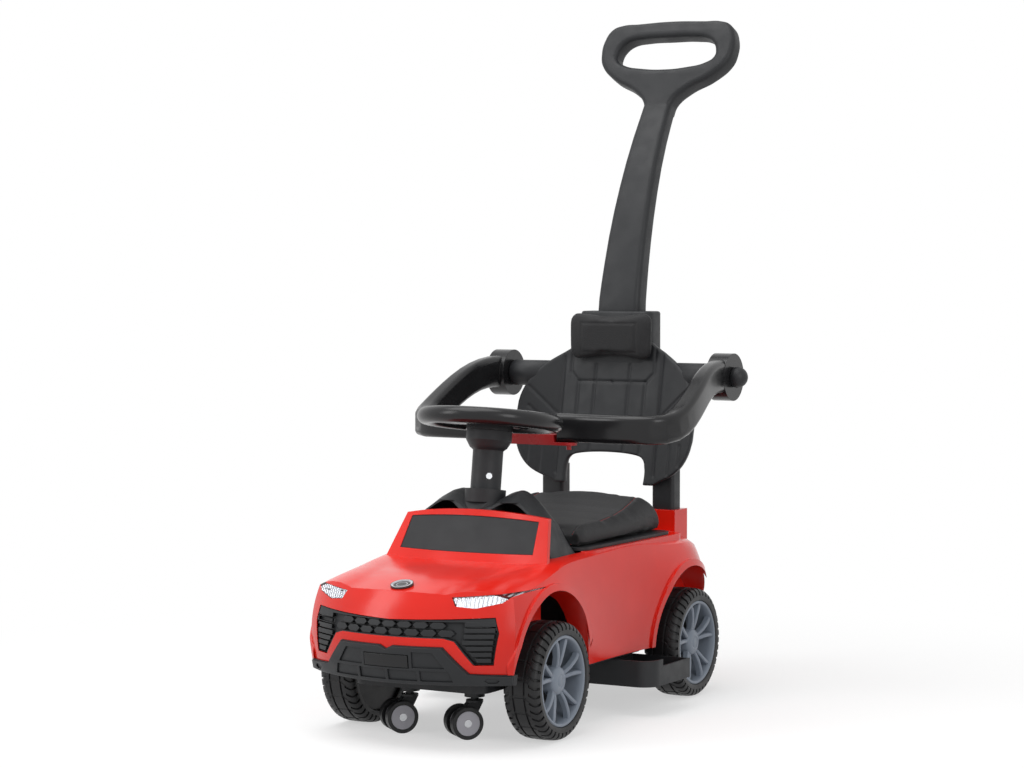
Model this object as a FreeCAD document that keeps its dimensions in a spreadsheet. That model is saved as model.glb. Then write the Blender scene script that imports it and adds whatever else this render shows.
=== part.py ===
import FreeCAD, Part
import math
import os
from types import SimpleNamespace
import Sketcher

# A toddler's push car: red body shell on a black chassis pan, four road wheels, two swivel casters,
# a padded seat over a storage tub, a backrest with a push handle, and a lifting guard.
# X runs across the car, the nose points to -Y, and the ground is Z = 0.

# Driving dimensions in millimetres, degrees and counts.
dimensions = {
    # whole car
    "overall_length": 824, "overall_height": 956, "front_overhang": 170, "wheelbase": 392, "track": 270,
    # clearances
    "running_fit": 0.06, "seat_gap": 0.2, "skin_gap": 0.4, "cut_overrun": 20,
    # road wheels
    "wheel_diameter": 150, "tyre_width": 50, "bead_diameter": 116, "tyre_shoulder": 7,
    "tread_groove_width": 3, "tread_depth": 2.5,
    "rim_face_offset": 15, "rim_lip_offset": 18, "rim_back_offset": 20, "rim_disc_thickness": 5,
    "rim_barrel_wall": 4.5, "hub_diameter": 26, "spoke_pairs": 5, "window_inner_radius": 25,
    "narrow_window_outer_radius": 49, "narrow_window_inner_width": 6, "narrow_window_outer_width": 13,
    "wide_window_outer_radius": 46, "wide_window_inner_width": 11, "wide_window_outer_width": 31,
    "axle_diameter": 8, "axle_end_offset": 14, "nut_diameter": 18, "nut_thickness": 2.6,
    "nut_recess_diameter": 21, "hub_cap_diameter": 44, "hub_cap_thickness": 3.2, "hub_cap_edge": 1.4,
    # casters
    "caster_spread": 96, "caster_lead": 32, "caster_turn": -40, "caster_trail": 15,
    "caster_diameter": 41, "caster_tyre_width": 11, "caster_disc_diameter": 31,
    "caster_fork_width": 13, "caster_wheel_gap": 0.5, "caster_fork_top": 45, "caster_fork_depth": 9,
    "caster_bolt_diameter": 5, "caster_bolt_head": 10, "caster_bolt_head_height": 2,
    "stem_diameter": 10, "stem_collar_diameter": 22, "stem_collar_height": 3, "stem_reach": 34,
    "caster_socket_diameter": 26, "caster_socket_drop": 14, "caster_socket_height": 26,
    # chassis pan
    "pan_underside": 66, "pan_thickness": 4, "pan_wall": 3, "pan_width": 192, "pan_top": 100,
    "pan_front_lead": 95, "pan_rear_setback": 466, "pan_corner": 18, "ledge_width": 32, "ledge_front": 116,
    "ledge_rear": 272, "ledge_thickness": 4, "saddle_length": 24, "saddle_width": 20, "saddle_height": 16,
    "bearing_width": 34, "bearing_height": 24,
    # running boards
    "board_reach": 185, "board_inner": 62, "board_front": 196, "board_rear": 312, "board_bottom": 40,
    "board_wall": 3, "board_floor": 4, "board_corner": 24,
    "board_ledge": 100, "board_front_rise": 9, "board_front_depth": 34, "board_ribs": 6, "board_rib_width": 4,
    "board_rib_height": 2,
    # body shell
    "shell_width": 304, "shell_length": 670, "shell_sill": 80, "shell_height": 224, "shell_wall": 3,
    "nose_sagitta": 60, "tail_sagitta": 22, "front_arch_radius": 108,
    "rear_arch_radius": 101, "arch_centre": 80, "arch_lip": 9, "arch_liner_inner": 200,
    "cockpit_front": 46, "cockpit_rear": 404, "cockpit_width": 228, "cockpit_rim": 13, "cockpit_corner": 20,
    "socket_width": 46, "socket_depth": 40, "socket_top": 254, "socket_bottom": 190,
    # windscreen
    "screen_bottom": 212, "screen_top": 281, "screen_bottom_width": 242, "screen_top_width": 202,
    "screen_bottom_setback": 4, "screen_top_setback": 48, "screen_sagitta": 20, "screen_thickness": 7,
    "screen_crown": 9, "panel_depth": 4, "panel_top": 268, "panel_bottom": 228, "panel_top_width": 190,
    "panel_bottom_width": 198, "panel_thickness": 3,
    # nose pieces
    "grille_recess": 4, "grille_thickness": 4, "grille_cell": 13, "grille_bar": 2.4,
    "trim_proud": 3, "bumper_thickness": 9, "bumper_underside": 83, "lens_thickness": 2.5,
    "reflector_thickness": 5, "plate_width": 62, "plate_height": 15, "plate_level": 112,
    "plate_thickness": 2.5, "badge_diameter": 29, "badge_thickness": 3, "badge_setback": -128,
    "badge_rim": 2.5, "badge_sink": 1,
    # dashboard
    "dash_front": 40, "dash_rear": 126, "dash_width": 226, "dash_bottom": 216, "dash_top": 303,
    "dash_wall": 3, "collar_diameter": 54, "collar_level": 304,
    # steering
    "column_tilt": 8, "wheel_centre_setback": 92, "wheel_centre_height": 394, "steering_diameter": 192,
    "steering_tube": 22, "column_diameter": 40, "bulb_diameter": 60, "bulb_height": 26, "hub_drop": 14,
    "steering_hub_diameter": 62, "hub_thickness": 20, "spoke_width": 30, "spoke_thickness": 12,
    "column_length": 96, "shaft_diameter": 12, "shaft_end_height": 74, "horn_diameter": 44,
    "horn_height": 9, "horn_travel": 3, "horn_recess": 12, "column_screw_diameter": 8,
    "column_screw_drop": 74, "retainer_diameter": 46, "retainer_thickness": 4,
    # seat
    "seat_front": 129, "seat_rear": 400, "lid_width": 238, "lid_thickness": 4, "lid_corner": 16, "lid_setback": 3,
    "cushion_width": 248, "cushion_crest_height": 50, "seat_hinge_setback": 396,
    "seat_hinge_height": 213, "hinge_pin_diameter": 5, "hinge_pin_length": 96, "knuckle_width": 24,
    "knuckle_spread": 44, "knuckle_size": 12, "hinge_ear_width": 9, "hinge_ear_spread": 82,
    # storage tub
    "tub_front": 140, "tub_rear": 344, "tub_width": 184, "tub_top": 221, "tub_wall": 2.5,
    "tub_corner": 16,
    # backrest
    "back_width": 292, "back_bottom": 288, "back_top": 480, "back_front": 418, "back_split": 436,
    "back_rear": 461, "back_dish": 12, "back_arch_width": 118, "back_arch_top": 327, "back_edge": 5,
    "neck_width": 126, "neck_top": 531, "neck_front": 453, "neck_rear": 491, "neck_edge": 8, "post_spread": 176,
    "post_width": 34, "post_depth": 26, "post_foot": 200, "post_corner": 5, "post_centre": 437,
    "post_top": 312, "headrest_width": 140, "headrest_bottom": 459, "headrest_top": 530,
    "headrest_depth": 18, "headrest_corner": 16, "headrest_crown": 5,
    # guard
    "pivot_setback": 443, "pivot_height": 441, "pivot_tube_diameter": 34, "pivot_tube_inner": 100,
    "boss_inner": 161, "boss_thickness": 28, "boss_diameter": 66, "pivot_bolt_diameter": 16,
    "pivot_bolt_inner": 140, "knob_diameter": 29, "knob_reach": 209, "arm_height": 40, "arm_thickness": 26, "arm_edge": 8,
    "guard_reach": 206, "guard_front": 198, "bar_level": 379, "arm_gap": 72, "clip_width": 128,
    "clip_thickness": 4, "clip_rib": 10, "clip_depth": 22, "clip_peg_diameter": 7, "clip_peg_height": 6,
    # push handle
    "handle_foot": 496, "handle_foot_setback": 472, "handle_foot_width": 66, "handle_foot_depth": 32,
    "shaft_neck_width": 44, "shaft_neck_depth": 27,
    "grip_width": 216, "grip_height": 131, "grip_thickness": 30, "grip_tilt": 21, "grip_edge": 8, "grip_corner": 16,
    "button_diameter": 18, "button_travel": 4,
    "button_proud": 5, "button_height": 506, "button_depth": 12,
    # fasteners
    "screw_head_diameter": 9, "screw_head_height": 3, "screw_shank_diameter": 4,
}

doc = FreeCAD.newDocument("push_car")
sheet = doc.addObject("Spreadsheet::Sheet", "sizes")
for row, (name, value) in enumerate(dimensions.items(), 1):
    sheet.set(f"A{row}", name)
    sheet.set(f"B{row}", str(value))
    sheet.setAlias(f"B{row}", name)
doc.recompute()


class Size:
    """A size with its value and the sheet expression that gives it."""

    def __init__(self, value, text):
        self.value = value
        self.text = text

    def __float__(self):
        return self.value

    def __add__(self, other):
        return Size(self.value + float(other), f"({self.text} + {as_size(other).text})")

    def __radd__(self, other):
        return as_size(other) + self

    def __sub__(self, other):
        return Size(self.value - float(other), f"({self.text} - {as_size(other).text})")

    def __rsub__(self, other):
        return as_size(other) - self

    def __mul__(self, other):
        return Size(self.value * float(other), f"({self.text} * {as_size(other).text})")

    def __rmul__(self, other):
        return as_size(other) * self

    def __truediv__(self, other):
        return Size(self.value / float(other), f"({self.text} / {as_size(other).text})")

    def __neg__(self):
        return Size(-self.value, f"(0 - {self.text})")


def as_size(number):
    return number if isinstance(number, Size) else Size(float(number), repr(float(number)))


S = SimpleNamespace(**{name: Size(float(sheet.get(name)), "sizes." + name) for name in dimensions})

# Places that many pieces share.
front_axle_y = S.front_overhang - S.overall_length / 2
rear_axle_y = front_axle_y + S.wheelbase
axle_z = S.wheel_diameter / 2


def behind(setback):
    """The Y place of a point measured back from the front axle."""
    return front_axle_y + setback


# Helpers for bound features.
def vec(x, y, z):
    return FreeCAD.Vector(float(x), float(y), float(z))


def bind(feature, prop, value):
    feature.setExpression(prop, as_size(value).text)


def place(feature, x=0, y=0, z=0, axis=(0, 0, 1), angle=0):
    """Puts an object at a bound place, turned about its own origin."""
    feature.Placement = FreeCAD.Placement(vec(0, 0, 0), FreeCAD.Rotation(FreeCAD.Vector(*axis), float(angle)))
    for letter, value in zip("xyz", (x, y, z)):
        bind(feature, "Placement.Base." + letter, value)


def new_body(label):
    body = doc.addObject("PartDesign::Body", label)
    body.Label = label
    return body


def sketch_on(body, role, height):
    sketch = body.newObject("Sketcher::SketchObject", body.Label + "_sketch")
    plane = [feature for feature in body.Origin.OriginFeatures if feature.Role == role][0]
    sketch.AttachmentSupport = [(plane, "")]
    sketch.MapMode = "FlatFace"
    bind(sketch, "AttachmentOffset.Base.z", height)
    return sketch


def outlines(body, role, loops, height=0):
    """A sketch of closed straight-sided loops whose every corner is bound to the sheet."""
    sketch = sketch_on(body, role, height)
    for loop in loops:
        first = sketch.GeometryCount
        count = len(loop)
        for place_index, (u, v) in enumerate(loop):
            nu, nv = loop[(place_index + 1) % count]
            sketch.addGeometry(Part.LineSegment(vec(u, v, 0), vec(nu, nv, 0)))
        for index in range(count):
            sketch.addConstraint(Sketcher.Constraint("Coincident", first + index, 2,
                                                     first + (index + 1) % count, 1))
        for index, corner in enumerate(loop):
            for kind, value in zip(("DistanceX", "DistanceY"), corner):
                number = sketch.addConstraint(Sketcher.Constraint(kind, -1, 1, first + index, 1, float(value)))
                bind(sketch, f"Constraints[{number}]", value)
    return sketch


def circles(body, role, discs, height=0):
    """A sketch of circles, each given as centre and radius, bound to the sheet."""
    sketch = sketch_on(body, role, height)
    for index, (u, v, radius) in enumerate(discs):
        sketch.addGeometry(Part.Circle(vec(u, v, 0), vec(0, 0, 1), float(radius)))
        for kind, value in zip(("DistanceX", "DistanceY"), (u, v)):
            number = sketch.addConstraint(Sketcher.Constraint(kind, -1, 1, index, 3, float(value)))
            bind(sketch, f"Constraints[{number}]", value)
        number = sketch.addConstraint(Sketcher.Constraint("Radius", index, float(radius)))
        bind(sketch, f"Constraints[{number}]", radius)
    return sketch


def extrude(body, kind, sketch, length, reverse=False, symmetric=False):
    feature = body.newObject("PartDesign::" + kind, body.Label + "_" + kind.lower())
    feature.Profile = sketch
    feature.SideType = "Symmetric" if symmetric else "One side"
    feature.Reversed = reverse
    bind(feature, "Length", length)
    doc.recompute()
    return feature


def pad(body, sketch, length, **options):
    return extrude(body, "Pad", sketch, length, **options)


def pocket(body, sketch, length, **options):
    return extrude(body, "Pocket", sketch, length, **options)


def revolve(body, sketch, axis="H_Axis"):
    feature = body.newObject("PartDesign::Revolution", body.Label + "_revolution")
    feature.Profile = sketch
    feature.ReferenceAxis = (sketch, [axis])
    doc.recompute()
    return feature


def polar(body, feature, role, count):
    """Repeats a feature evenly round one of the body's own axes."""
    pattern = body.newObject("PartDesign::PolarPattern", body.Label + "_pattern")
    pattern.Originals = [feature]
    axis = [item for item in body.Origin.OriginFeatures if item.Role == role][0]
    pattern.Axis = (axis, [""])
    bind(pattern, "Occurrences", count)
    body.Tip = pattern
    doc.recompute()
    return pattern


def linear(body, feature, role, length, count):
    """Repeats a feature in a straight row along one of the body's own axes."""
    pattern = body.newObject("PartDesign::LinearPattern", body.Label + "_row")
    pattern.Originals = [feature]
    axis = [item for item in body.Origin.OriginFeatures if item.Role == role][0]
    pattern.Direction = (axis, [""])
    bind(pattern, "Length", length)
    bind(pattern, "Occurrences", count)
    body.Tip = pattern
    doc.recompute()
    return pattern


def round_edges(body, base, radius, chosen):
    """Fillets the edges of a feature that the given test picks."""
    feature = body.newObject("PartDesign::Fillet", body.Label + "_fillet")
    names = [f"Edge{i}" for i, edge in enumerate(base.Shape.Edges, 1) if chosen(edge)]
    feature.Base = (base, names)
    bind(feature, "Radius", radius)
    doc.recompute()
    return feature


def upright(edge):
    ends = [vertex.Point for vertex in edge.Vertexes]
    return len(ends) == 2 and abs((ends[1] - ends[0]).normalize().z) > upright_share


upright_share = 0.99


def rectangle(u_low, v_low, u_high, v_high):
    return [(u_low, v_low), (u_high, v_low), (u_high, v_high), (u_low, v_high)]


def tray(body, half, front, rear, low, high, floor, wall, corner):
    """An open box with walls of even thickness, round at its upright corners."""

    def inside(edge):
        return upright(edge) and abs(edge.CenterOfMass.x) < float(half - wall / 2)

    def outside(edge):
        return upright(edge) and not inside(edge)

    pad(body, outlines(body, "XY_Plane", [rectangle(-half, front, half, rear)], low), high - low)
    room = rectangle(-half + wall, front + wall, half - wall, rear - wall)
    hollow = pocket(body, outlines(body, "XY_Plane", [room], high), high - floor)
    eased = round_edges(body, hollow, corner - wall, inside)
    round_edges(body, eased, corner, outside)


def solid_feature(label, shape):
    """A sub-part whose shape comes from Part's own functions."""
    feature = doc.addObject("Part::Feature", label)
    feature.Label = label
    feature.Shape = shape
    return feature


def copy_of(source, label, x, y, z, angle):
    """A further piece of the same moulding at another place."""
    shape = source.Shape.copy()
    shape.Placement = FreeCAD.Placement()
    feature = solid_feature(label, shape)
    place(feature, x, y, z, angle=angle)
    return feature


# Helpers for lofted and cut forms.
def line(start, end):
    return Part.LineSegment(start, end).toShape()


def arc(start, middle, end):
    return Part.Arc(start, middle, end).toShape()


def closed_wire(points):
    return Part.Wire(Part.makePolygon(list(points) + [points[0]]).Edges)


def box(x_low, y_low, z_low, x_high, y_high, z_high):
    return Part.makeBox(float(x_high) - float(x_low), float(y_high) - float(y_low),
                        float(z_high) - float(z_low), vec(x_low, y_low, z_low))


def rod(radius, start, end):
    direction = end - start
    return Part.makeCylinder(float(radius), direction.Length, start, direction)


def prism(wire, direction):
    return Part.Face(wire).extrude(direction)


def mirrored(shape):
    return shape.mirror(vec(0, 0, 0), vec(1, 0, 0))


def loft(wires, ruled=False):
    return Part.makeLoft(wires, True, ruled)


def rounded_rectangle(centre, across, up, width, height, radius):
    """A wire of four sides and four corner arcs in the plane of two unit vectors."""
    half_w = float(width) / 2
    half_h = float(height) / 2
    radius = min(float(radius), half_w * corner_share, half_h * corner_share)
    edges = []
    turns = [(1, -1), (1, 1), (-1, 1), (-1, -1)]
    inner = [(su * (half_w - radius), sv * (half_h - radius)) for su, sv in turns]

    def at(u, v):
        return centre + across * u + up * v

    corners = []
    for index, ((u, v), (su, sv)) in enumerate(zip(inner, turns)):
        side = at(u + su * radius, v)
        crown = at(u, v + sv * radius)
        middle = at(u + su * radius * math.sqrt(0.5), v + sv * radius * math.sqrt(0.5))
        corners.append((side, middle, crown) if index % 2 else (crown, middle, side))
    for index, (start, middle, end) in enumerate(corners):
        edges.append(arc(start, middle, end))
        edges.append(line(end, corners[(index + 1) % len(corners)][0]))
    return Part.Wire(edges)


corner_share = 0.96
X_AXIS = FreeCAD.Vector(1, 0, 0)
Y_AXIS = FreeCAD.Vector(0, 1, 0)
Z_AXIS = FreeCAD.Vector(0, 0, 1)
sides = {"left": 1, "right": -1}

# Road wheels: a moulded tyre on a spoked rim, with a hub cap over the axle nut.
wheel_names = {
    "front_left": (S.track / 2, front_axle_y, 0), "front_right": (-S.track / 2, front_axle_y, 180),
    "rear_left": (S.track / 2, rear_axle_y, 0), "rear_right": (-S.track / 2, rear_axle_y, 180),
}
tyre_half = S.tyre_width / 2
tread_radius = S.wheel_diameter / 2
rim_radius = S.bead_diameter / 2 - S.seat_gap
rim_bore = S.axle_diameter / 2 + S.running_fit


def make_tyre(label):
    body = new_body(label)
    groove = S.tread_groove_width / 2
    half = [
        (groove, tread_radius - S.tread_depth), (groove, tread_radius),
        (tyre_half - S.tyre_shoulder, tread_radius), (tyre_half, tread_radius - S.tyre_shoulder),
        (tyre_half, S.bead_diameter / 2),
    ]
    profile = half + [(-u, v) for u, v in reversed(half)]
    revolve(body, outlines(body, "XZ_Plane", [profile]))
    return body


def make_rim(label):
    body = new_body(label)
    barrel = rim_radius - S.rim_barrel_wall
    disc_back = S.rim_face_offset - S.rim_disc_thickness
    profile = [
        (-S.rim_back_offset, rim_bore), (disc_back, rim_bore), (disc_back, S.nut_recess_diameter / 2),
        (S.rim_face_offset, S.nut_recess_diameter / 2), (S.rim_face_offset, barrel),
        (S.rim_lip_offset, barrel), (S.rim_lip_offset, rim_radius), (-S.rim_back_offset, rim_radius),
        (-S.rim_back_offset, barrel), (disc_back - S.rim_disc_thickness, barrel),
        (disc_back - S.rim_disc_thickness, S.hub_diameter / 2), (-S.rim_back_offset, S.hub_diameter / 2),
    ]
    revolve(body, outlines(body, "XZ_Plane", [profile]))
    windows = [
        (1, S.narrow_window_inner_width, S.narrow_window_outer_width, S.narrow_window_outer_radius),
        (-1, S.wide_window_inner_width, S.wide_window_outer_width, S.wide_window_outer_radius),
    ]
    for way, inner, outer, reach in windows:
        loop = [(-inner / 2, way * S.window_inner_radius), (inner / 2, way * S.window_inner_radius),
                (outer / 2, way * reach), (-outer / 2, way * reach)]
        cut = pocket(body, outlines(body, "YZ_Plane", [loop]), S.cut_overrun * 2, reverse=True)
        polar(body, cut, "X_Axis", S.spoke_pairs)
    return body


def make_hub_cap(label):
    body = new_body(label)
    radius = S.hub_cap_diameter / 2
    seat = S.rim_face_offset + S.seat_gap
    profile = [
        (S.axle_end_offset + S.seat_gap * 2, 0), (S.axle_end_offset + S.seat_gap * 2, S.nut_diameter / 2),
        (seat, S.nut_diameter / 2), (seat, radius), (seat + S.hub_cap_edge, radius),
        (seat + S.hub_cap_thickness, radius - S.hub_cap_thickness), (seat + S.hub_cap_thickness, 0),
    ]
    revolve(body, outlines(body, "XZ_Plane", [profile]))
    return body


masters = {}
for name, (x, y, angle) in wheel_names.items():
    for kind, maker in (("tyre", make_tyre), ("rim", make_rim), ("hub_cap", make_hub_cap)):
        label = f"{kind}_{name}"
        if kind in masters:
            copy_of(masters[kind], label, x, y, axle_z, angle)
        else:
            masters[kind] = maker(label)
            place(masters[kind], x, y, axle_z, angle=angle)

# Steel axles across the pan, with a push nut on each end.
axle_half = S.track / 2 + S.axle_end_offset
for name, y in (("front_axle", front_axle_y), ("rear_axle", rear_axle_y)):
    axle = doc.addObject("Part::Cylinder", name)
    axle.Label = name
    bind(axle, "Radius", S.axle_diameter / 2)
    bind(axle, "Height", axle_half * 2)
    place(axle, -axle_half, y, axle_z, axis=(0, 1, 0), angle=90)


def push_nut(side, y):
    outer_face = S.track / 2 + S.rim_face_offset - S.rim_disc_thickness + S.nut_thickness + S.seat_gap
    inner = vec(side * (outer_face - S.nut_thickness), y, axle_z)
    outer = vec(side * outer_face, y, axle_z)
    return rod(S.nut_diameter / 2, inner, outer).cut(rod(rim_bore, inner, outer))


nuts = [push_nut(side, y) for y in (front_axle_y, rear_axle_y) for side in sides.values()]
solid_feature("axle_push_nuts", Part.makeCompound(nuts))

# Twin-wheel casters under the nose, each turned about its stem.
caster_radius = S.caster_diameter / 2
caster_wheel_in = S.caster_fork_width / 2 + S.caster_wheel_gap
caster_wheel_out = caster_wheel_in + S.caster_tyre_width
caster_y = front_axle_y - S.caster_lead
caster_bolt_bore = S.caster_bolt_diameter / 2 + S.running_fit


def ring(inner, outer, start, end, y, z):
    """A ring about the X direction."""
    full = rod(outer, vec(start, y, z), vec(end, y, z))
    return full.cut(rod(inner, vec(start - S.cut_overrun, y, z), vec(end + S.cut_overrun, y, z)))


def make_fork(label):
    """The black housing between the two wheels, with the steel stem moulded in."""
    body = new_body(label)
    axle_y = -S.caster_trail
    reach = S.caster_fork_depth
    profile = [
        (reach, S.caster_fork_top), (-reach, S.caster_fork_top), (axle_y - reach, caster_radius + reach),
        (axle_y - reach, caster_radius - reach / 2), (axle_y + reach, caster_radius - reach / 2),
    ]
    pad(body, outlines(body, "YZ_Plane", [profile]), S.caster_fork_width, symmetric=True)
    pocket(body, circles(body, "YZ_Plane", [(axle_y, caster_radius, S.caster_bolt_diameter / 2 + S.running_fit)]),
           S.caster_fork_width * 2, symmetric=True)
    top = S.caster_fork_top
    stem = [
        (0, top), (S.stem_collar_diameter / 2, top), (S.stem_collar_diameter / 2, top + S.stem_collar_height),
        (S.stem_diameter / 2, top + S.stem_collar_height), (S.stem_diameter / 2, top + S.stem_reach),
        (0, top + S.stem_reach),
    ]
    revolve(body, outlines(body, "XZ_Plane", [stem]), axis="V_Axis")
    return body


def caster_wheel_pair(kind):
    """Both tyres, or both discs, of one caster, about the stem as origin."""
    y = -S.caster_trail
    pieces = []
    for side in (1, -1):
        start, end = side * caster_wheel_in, side * caster_wheel_out
        if kind == "tyres":
            piece = ring(S.caster_disc_diameter / 2 + S.seat_gap, caster_radius,
                         min(start, end, key=float), max(start, end, key=float), y, caster_radius)
        else:
            disc = ring(caster_bolt_bore, S.caster_disc_diameter / 2, min(start, end, key=float),
                        max(start, end, key=float), y, caster_radius)
            face = vec(end, y, caster_radius)
            inset = vec(end - side * S.caster_bolt_head_height, y, caster_radius)
            piece = disc.cut(rod(S.caster_bolt_head / 2 + S.seat_gap, inset, face))
        pieces.append(piece)
    return Part.makeCompound(pieces)


def caster_bolt():
    y = -S.caster_trail
    tip = caster_wheel_out - S.caster_bolt_head_height
    shank = rod(S.caster_bolt_diameter / 2, vec(-tip, y, caster_radius), vec(tip, y, caster_radius))
    for side in (1, -1):
        head_out = vec(side * (caster_wheel_out - S.running_fit), y, caster_radius)
        shank = shank.fuse(rod(S.caster_bolt_head / 2, vec(side * tip, y, caster_radius), head_out))
    return shank.removeSplitter()


for name, side in sides.items():
    x = side * S.caster_spread / 2
    fork = make_fork(f"caster_fork_{name}")
    pieces = [
        fork, solid_feature(f"caster_tyres_{name}", caster_wheel_pair("tyres")),
        solid_feature(f"caster_discs_{name}", caster_wheel_pair("discs")),
        solid_feature(f"caster_bolt_{name}", caster_bolt()),
    ]
    for piece in pieces:
        place(piece, x, caster_y, 0, angle=S.caster_turn)


def caster_socket(side):
    centre_x = side * S.caster_spread / 2
    low = S.pan_underside - S.caster_socket_drop
    high = S.pan_underside + S.pan_thickness + S.caster_socket_height
    outer = rod(S.caster_socket_diameter / 2, vec(centre_x, caster_y, low), vec(centre_x, caster_y, high))
    bore = rod(S.stem_diameter / 2 + S.running_fit, vec(centre_x, caster_y, low - S.cut_overrun),
               vec(centre_x, caster_y, high + S.cut_overrun))
    return outer.cut(bore)


solid_feature("caster_sockets", Part.makeCompound([caster_socket(side) for side in sides.values()]))

# Chassis pan: a tray with ledges that carry the shell's sills.
pan_half = S.pan_width / 2
pan_floor = S.pan_underside + S.pan_thickness
pan_front = front_axle_y - S.pan_front_lead
pan_rear = behind(S.pan_rear_setback)
screw_x = (S.board_inner + pan_half) / 2
screw_ys = [behind(S.board_front + S.board_corner), behind(S.board_rear - S.board_corner)]
screw_bore = S.screw_shank_diameter / 2 + S.seat_gap


def make_pan():
    body = new_body("chassis_pan")
    tray(body, pan_half, pan_front, pan_rear, S.pan_underside, S.pan_top, pan_floor, S.pan_wall, S.pan_corner)
    ledges = []
    for side in (1, -1):
        x_in = side * pan_half
        x_out = side * (pan_half + S.ledge_width)
        ledges.append(rectangle(min(x_in, x_out, key=float), behind(S.ledge_front),
                                max(x_in, x_out, key=float), behind(S.ledge_rear)))
    ledge_low = S.shell_sill - S.seat_gap - S.ledge_thickness
    pad(body, outlines(body, "XY_Plane", ledges, ledge_low), S.ledge_thickness)
    bores = [(y, axle_z, S.axle_diameter / 2 + S.running_fit) for y in (front_axle_y, rear_axle_y)]
    pocket(body, circles(body, "YZ_Plane", bores), S.pan_width * 2, symmetric=True)
    seats = [(side * S.caster_spread / 2, caster_y, S.caster_socket_diameter / 2 + S.seat_gap)
             for side in (1, -1)]
    pocket(body, circles(body, "XY_Plane", seats, pan_floor), S.pan_thickness * 2)
    bores = [(side * screw_x, y, screw_bore) for y in screw_ys for side in (1, -1)]
    pocket(body, circles(body, "XY_Plane", bores, pan_floor), S.pan_thickness * 2)


make_pan()


def axle_saddle(side, y):
    """A block on the pan's floor, beside its wall, that holds the axle."""
    inner = pan_half - S.pan_wall - S.seat_gap - S.saddle_width
    block = box(inner, y - S.saddle_length / 2, pan_floor, inner + S.saddle_width,
                y + S.saddle_length / 2, pan_floor + S.saddle_height)
    bore = rod(S.axle_diameter / 2 + S.running_fit, vec(0, y, axle_z), vec(S.track, y, axle_z))
    block = block.cut(bore)
    return block if side > 0 else mirrored(block)


saddles = [axle_saddle(side, y) for y in (front_axle_y, rear_axle_y) for side in sides.values()]
solid_feature("axle_saddles", Part.makeCompound(saddles))

# Running boards: foot trays screwed under the pan, with a raised rounded front.
board_height = S.pan_underside - S.seat_gap - S.board_bottom


def make_board(name, side):
    body = new_body(f"running_board_{name}")

    def span(x_low, y_low, x_high, y_high):
        xs = sorted((side * x_low, side * x_high), key=float)
        return rectangle(xs[0], y_low, xs[1], y_high)

    front, rear = behind(S.board_front), behind(S.board_rear)
    high = S.board_bottom + board_height
    top = high + S.board_front_rise
    base = span(S.board_inner, front, S.board_reach, rear)
    pad(body, outlines(body, "XY_Plane", [base], S.board_bottom), board_height)
    brow = span(S.board_ledge, front, S.board_reach, front + S.board_front_depth)
    pad(body, outlines(body, "XY_Plane", [brow], high), S.board_front_rise)
    room = span(S.board_ledge, front + S.board_wall, S.board_reach - S.board_wall, rear - S.board_wall)
    well = pocket(body, outlines(body, "XY_Plane", [room], top), top - S.board_bottom - S.board_floor)

    def near_corner(edge, inset):
        centre = edge.CenterOfMass
        off = max(abs(abs(centre.x) - float(S.board_reach - inset)), abs(centre.y - float(front + inset)))
        return upright(edge) and off < float(S.board_wall) / 2

    eased = round_edges(body, well, S.board_corner - S.board_wall, lambda edge: near_corner(edge, S.board_wall))
    round_edges(body, eased, S.board_corner, lambda edge: near_corner(edge, 0))
    pitch = (S.board_rear - S.board_front - S.board_wall * 2) / (S.board_ribs + 1)
    first = front + S.board_wall + pitch - S.board_rib_width / 2
    strip = span(S.board_ledge, first, S.board_reach - S.board_wall, first + S.board_rib_width)
    rib = pad(body, outlines(body, "XY_Plane", [strip], S.board_bottom + S.board_floor), S.board_rib_height)
    linear(body, rib, "Y_Axis", pitch * (S.board_ribs - 1), S.board_ribs)
    bores = [(side * screw_x, y, screw_bore) for y in screw_ys]
    pocket(body, circles(body, "XY_Plane", bores, S.board_bottom), board_height, reverse=True)


for name, side in sides.items():
    make_board(name, side)
doc.recompute()

# Body shell: a loft along the car, closed by the bowed nose and tail of a second, upright loft.
shell_half = S.shell_width / 2
nose_y = S.trim_proud + S.plate_thickness - S.overall_length / 2
tail_y = nose_y + S.shell_length
arch_z = S.arch_centre

# Each station: place along the shell, sill width, waist width and height, shoulder width and height,
# bonnet crease width and height, and crown height, as shares of the shell's length, half width and height.
shell_station_shares = [
    (-0.012, 0.84, 0.895, 0.535, 0.85, 0.80, 0.435, 0.84, 0.85),
    (0.085, 0.935, 0.975, 0.56, 0.925, 0.84, 0.475, 0.893, 0.91),
    (0.175, 0.96, 1.0, 0.625, 0.935, 0.88, 0.525, 0.933, 0.95),
    (0.257, 0.947, 0.993, 0.67, 0.908, 0.925, 0.59, 0.96, 0.973),
    (0.339, 0.92, 0.947, 0.625, 0.875, 0.964, 0.645, 0.987, 0.991),
    (0.473, 0.895, 0.90, 0.535, 0.855, 0.978, 0.66, 0.991, 0.9955),
    (0.6075, 0.908, 0.914, 0.535, 0.855, 0.987, 0.645, 0.991, 0.995),
    (0.727, 0.94, 0.98, 0.67, 0.868, 0.964, 0.645, 0.987, 0.995),
    (0.831, 0.96, 1.0, 0.714, 0.88, 0.946, 0.63, 0.982, 0.993),
    (0.891, 0.93, 0.98, 0.68, 0.85, 0.93, 0.61, 0.973, 0.987),
    (0.942, 0.85, 0.885, 0.64, 0.78, 0.895, 0.57, 0.946, 0.96),
    (1.01, 0.72, 0.74, 0.60, 0.65, 0.82, 0.47, 0.88, 0.893),
]
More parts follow.
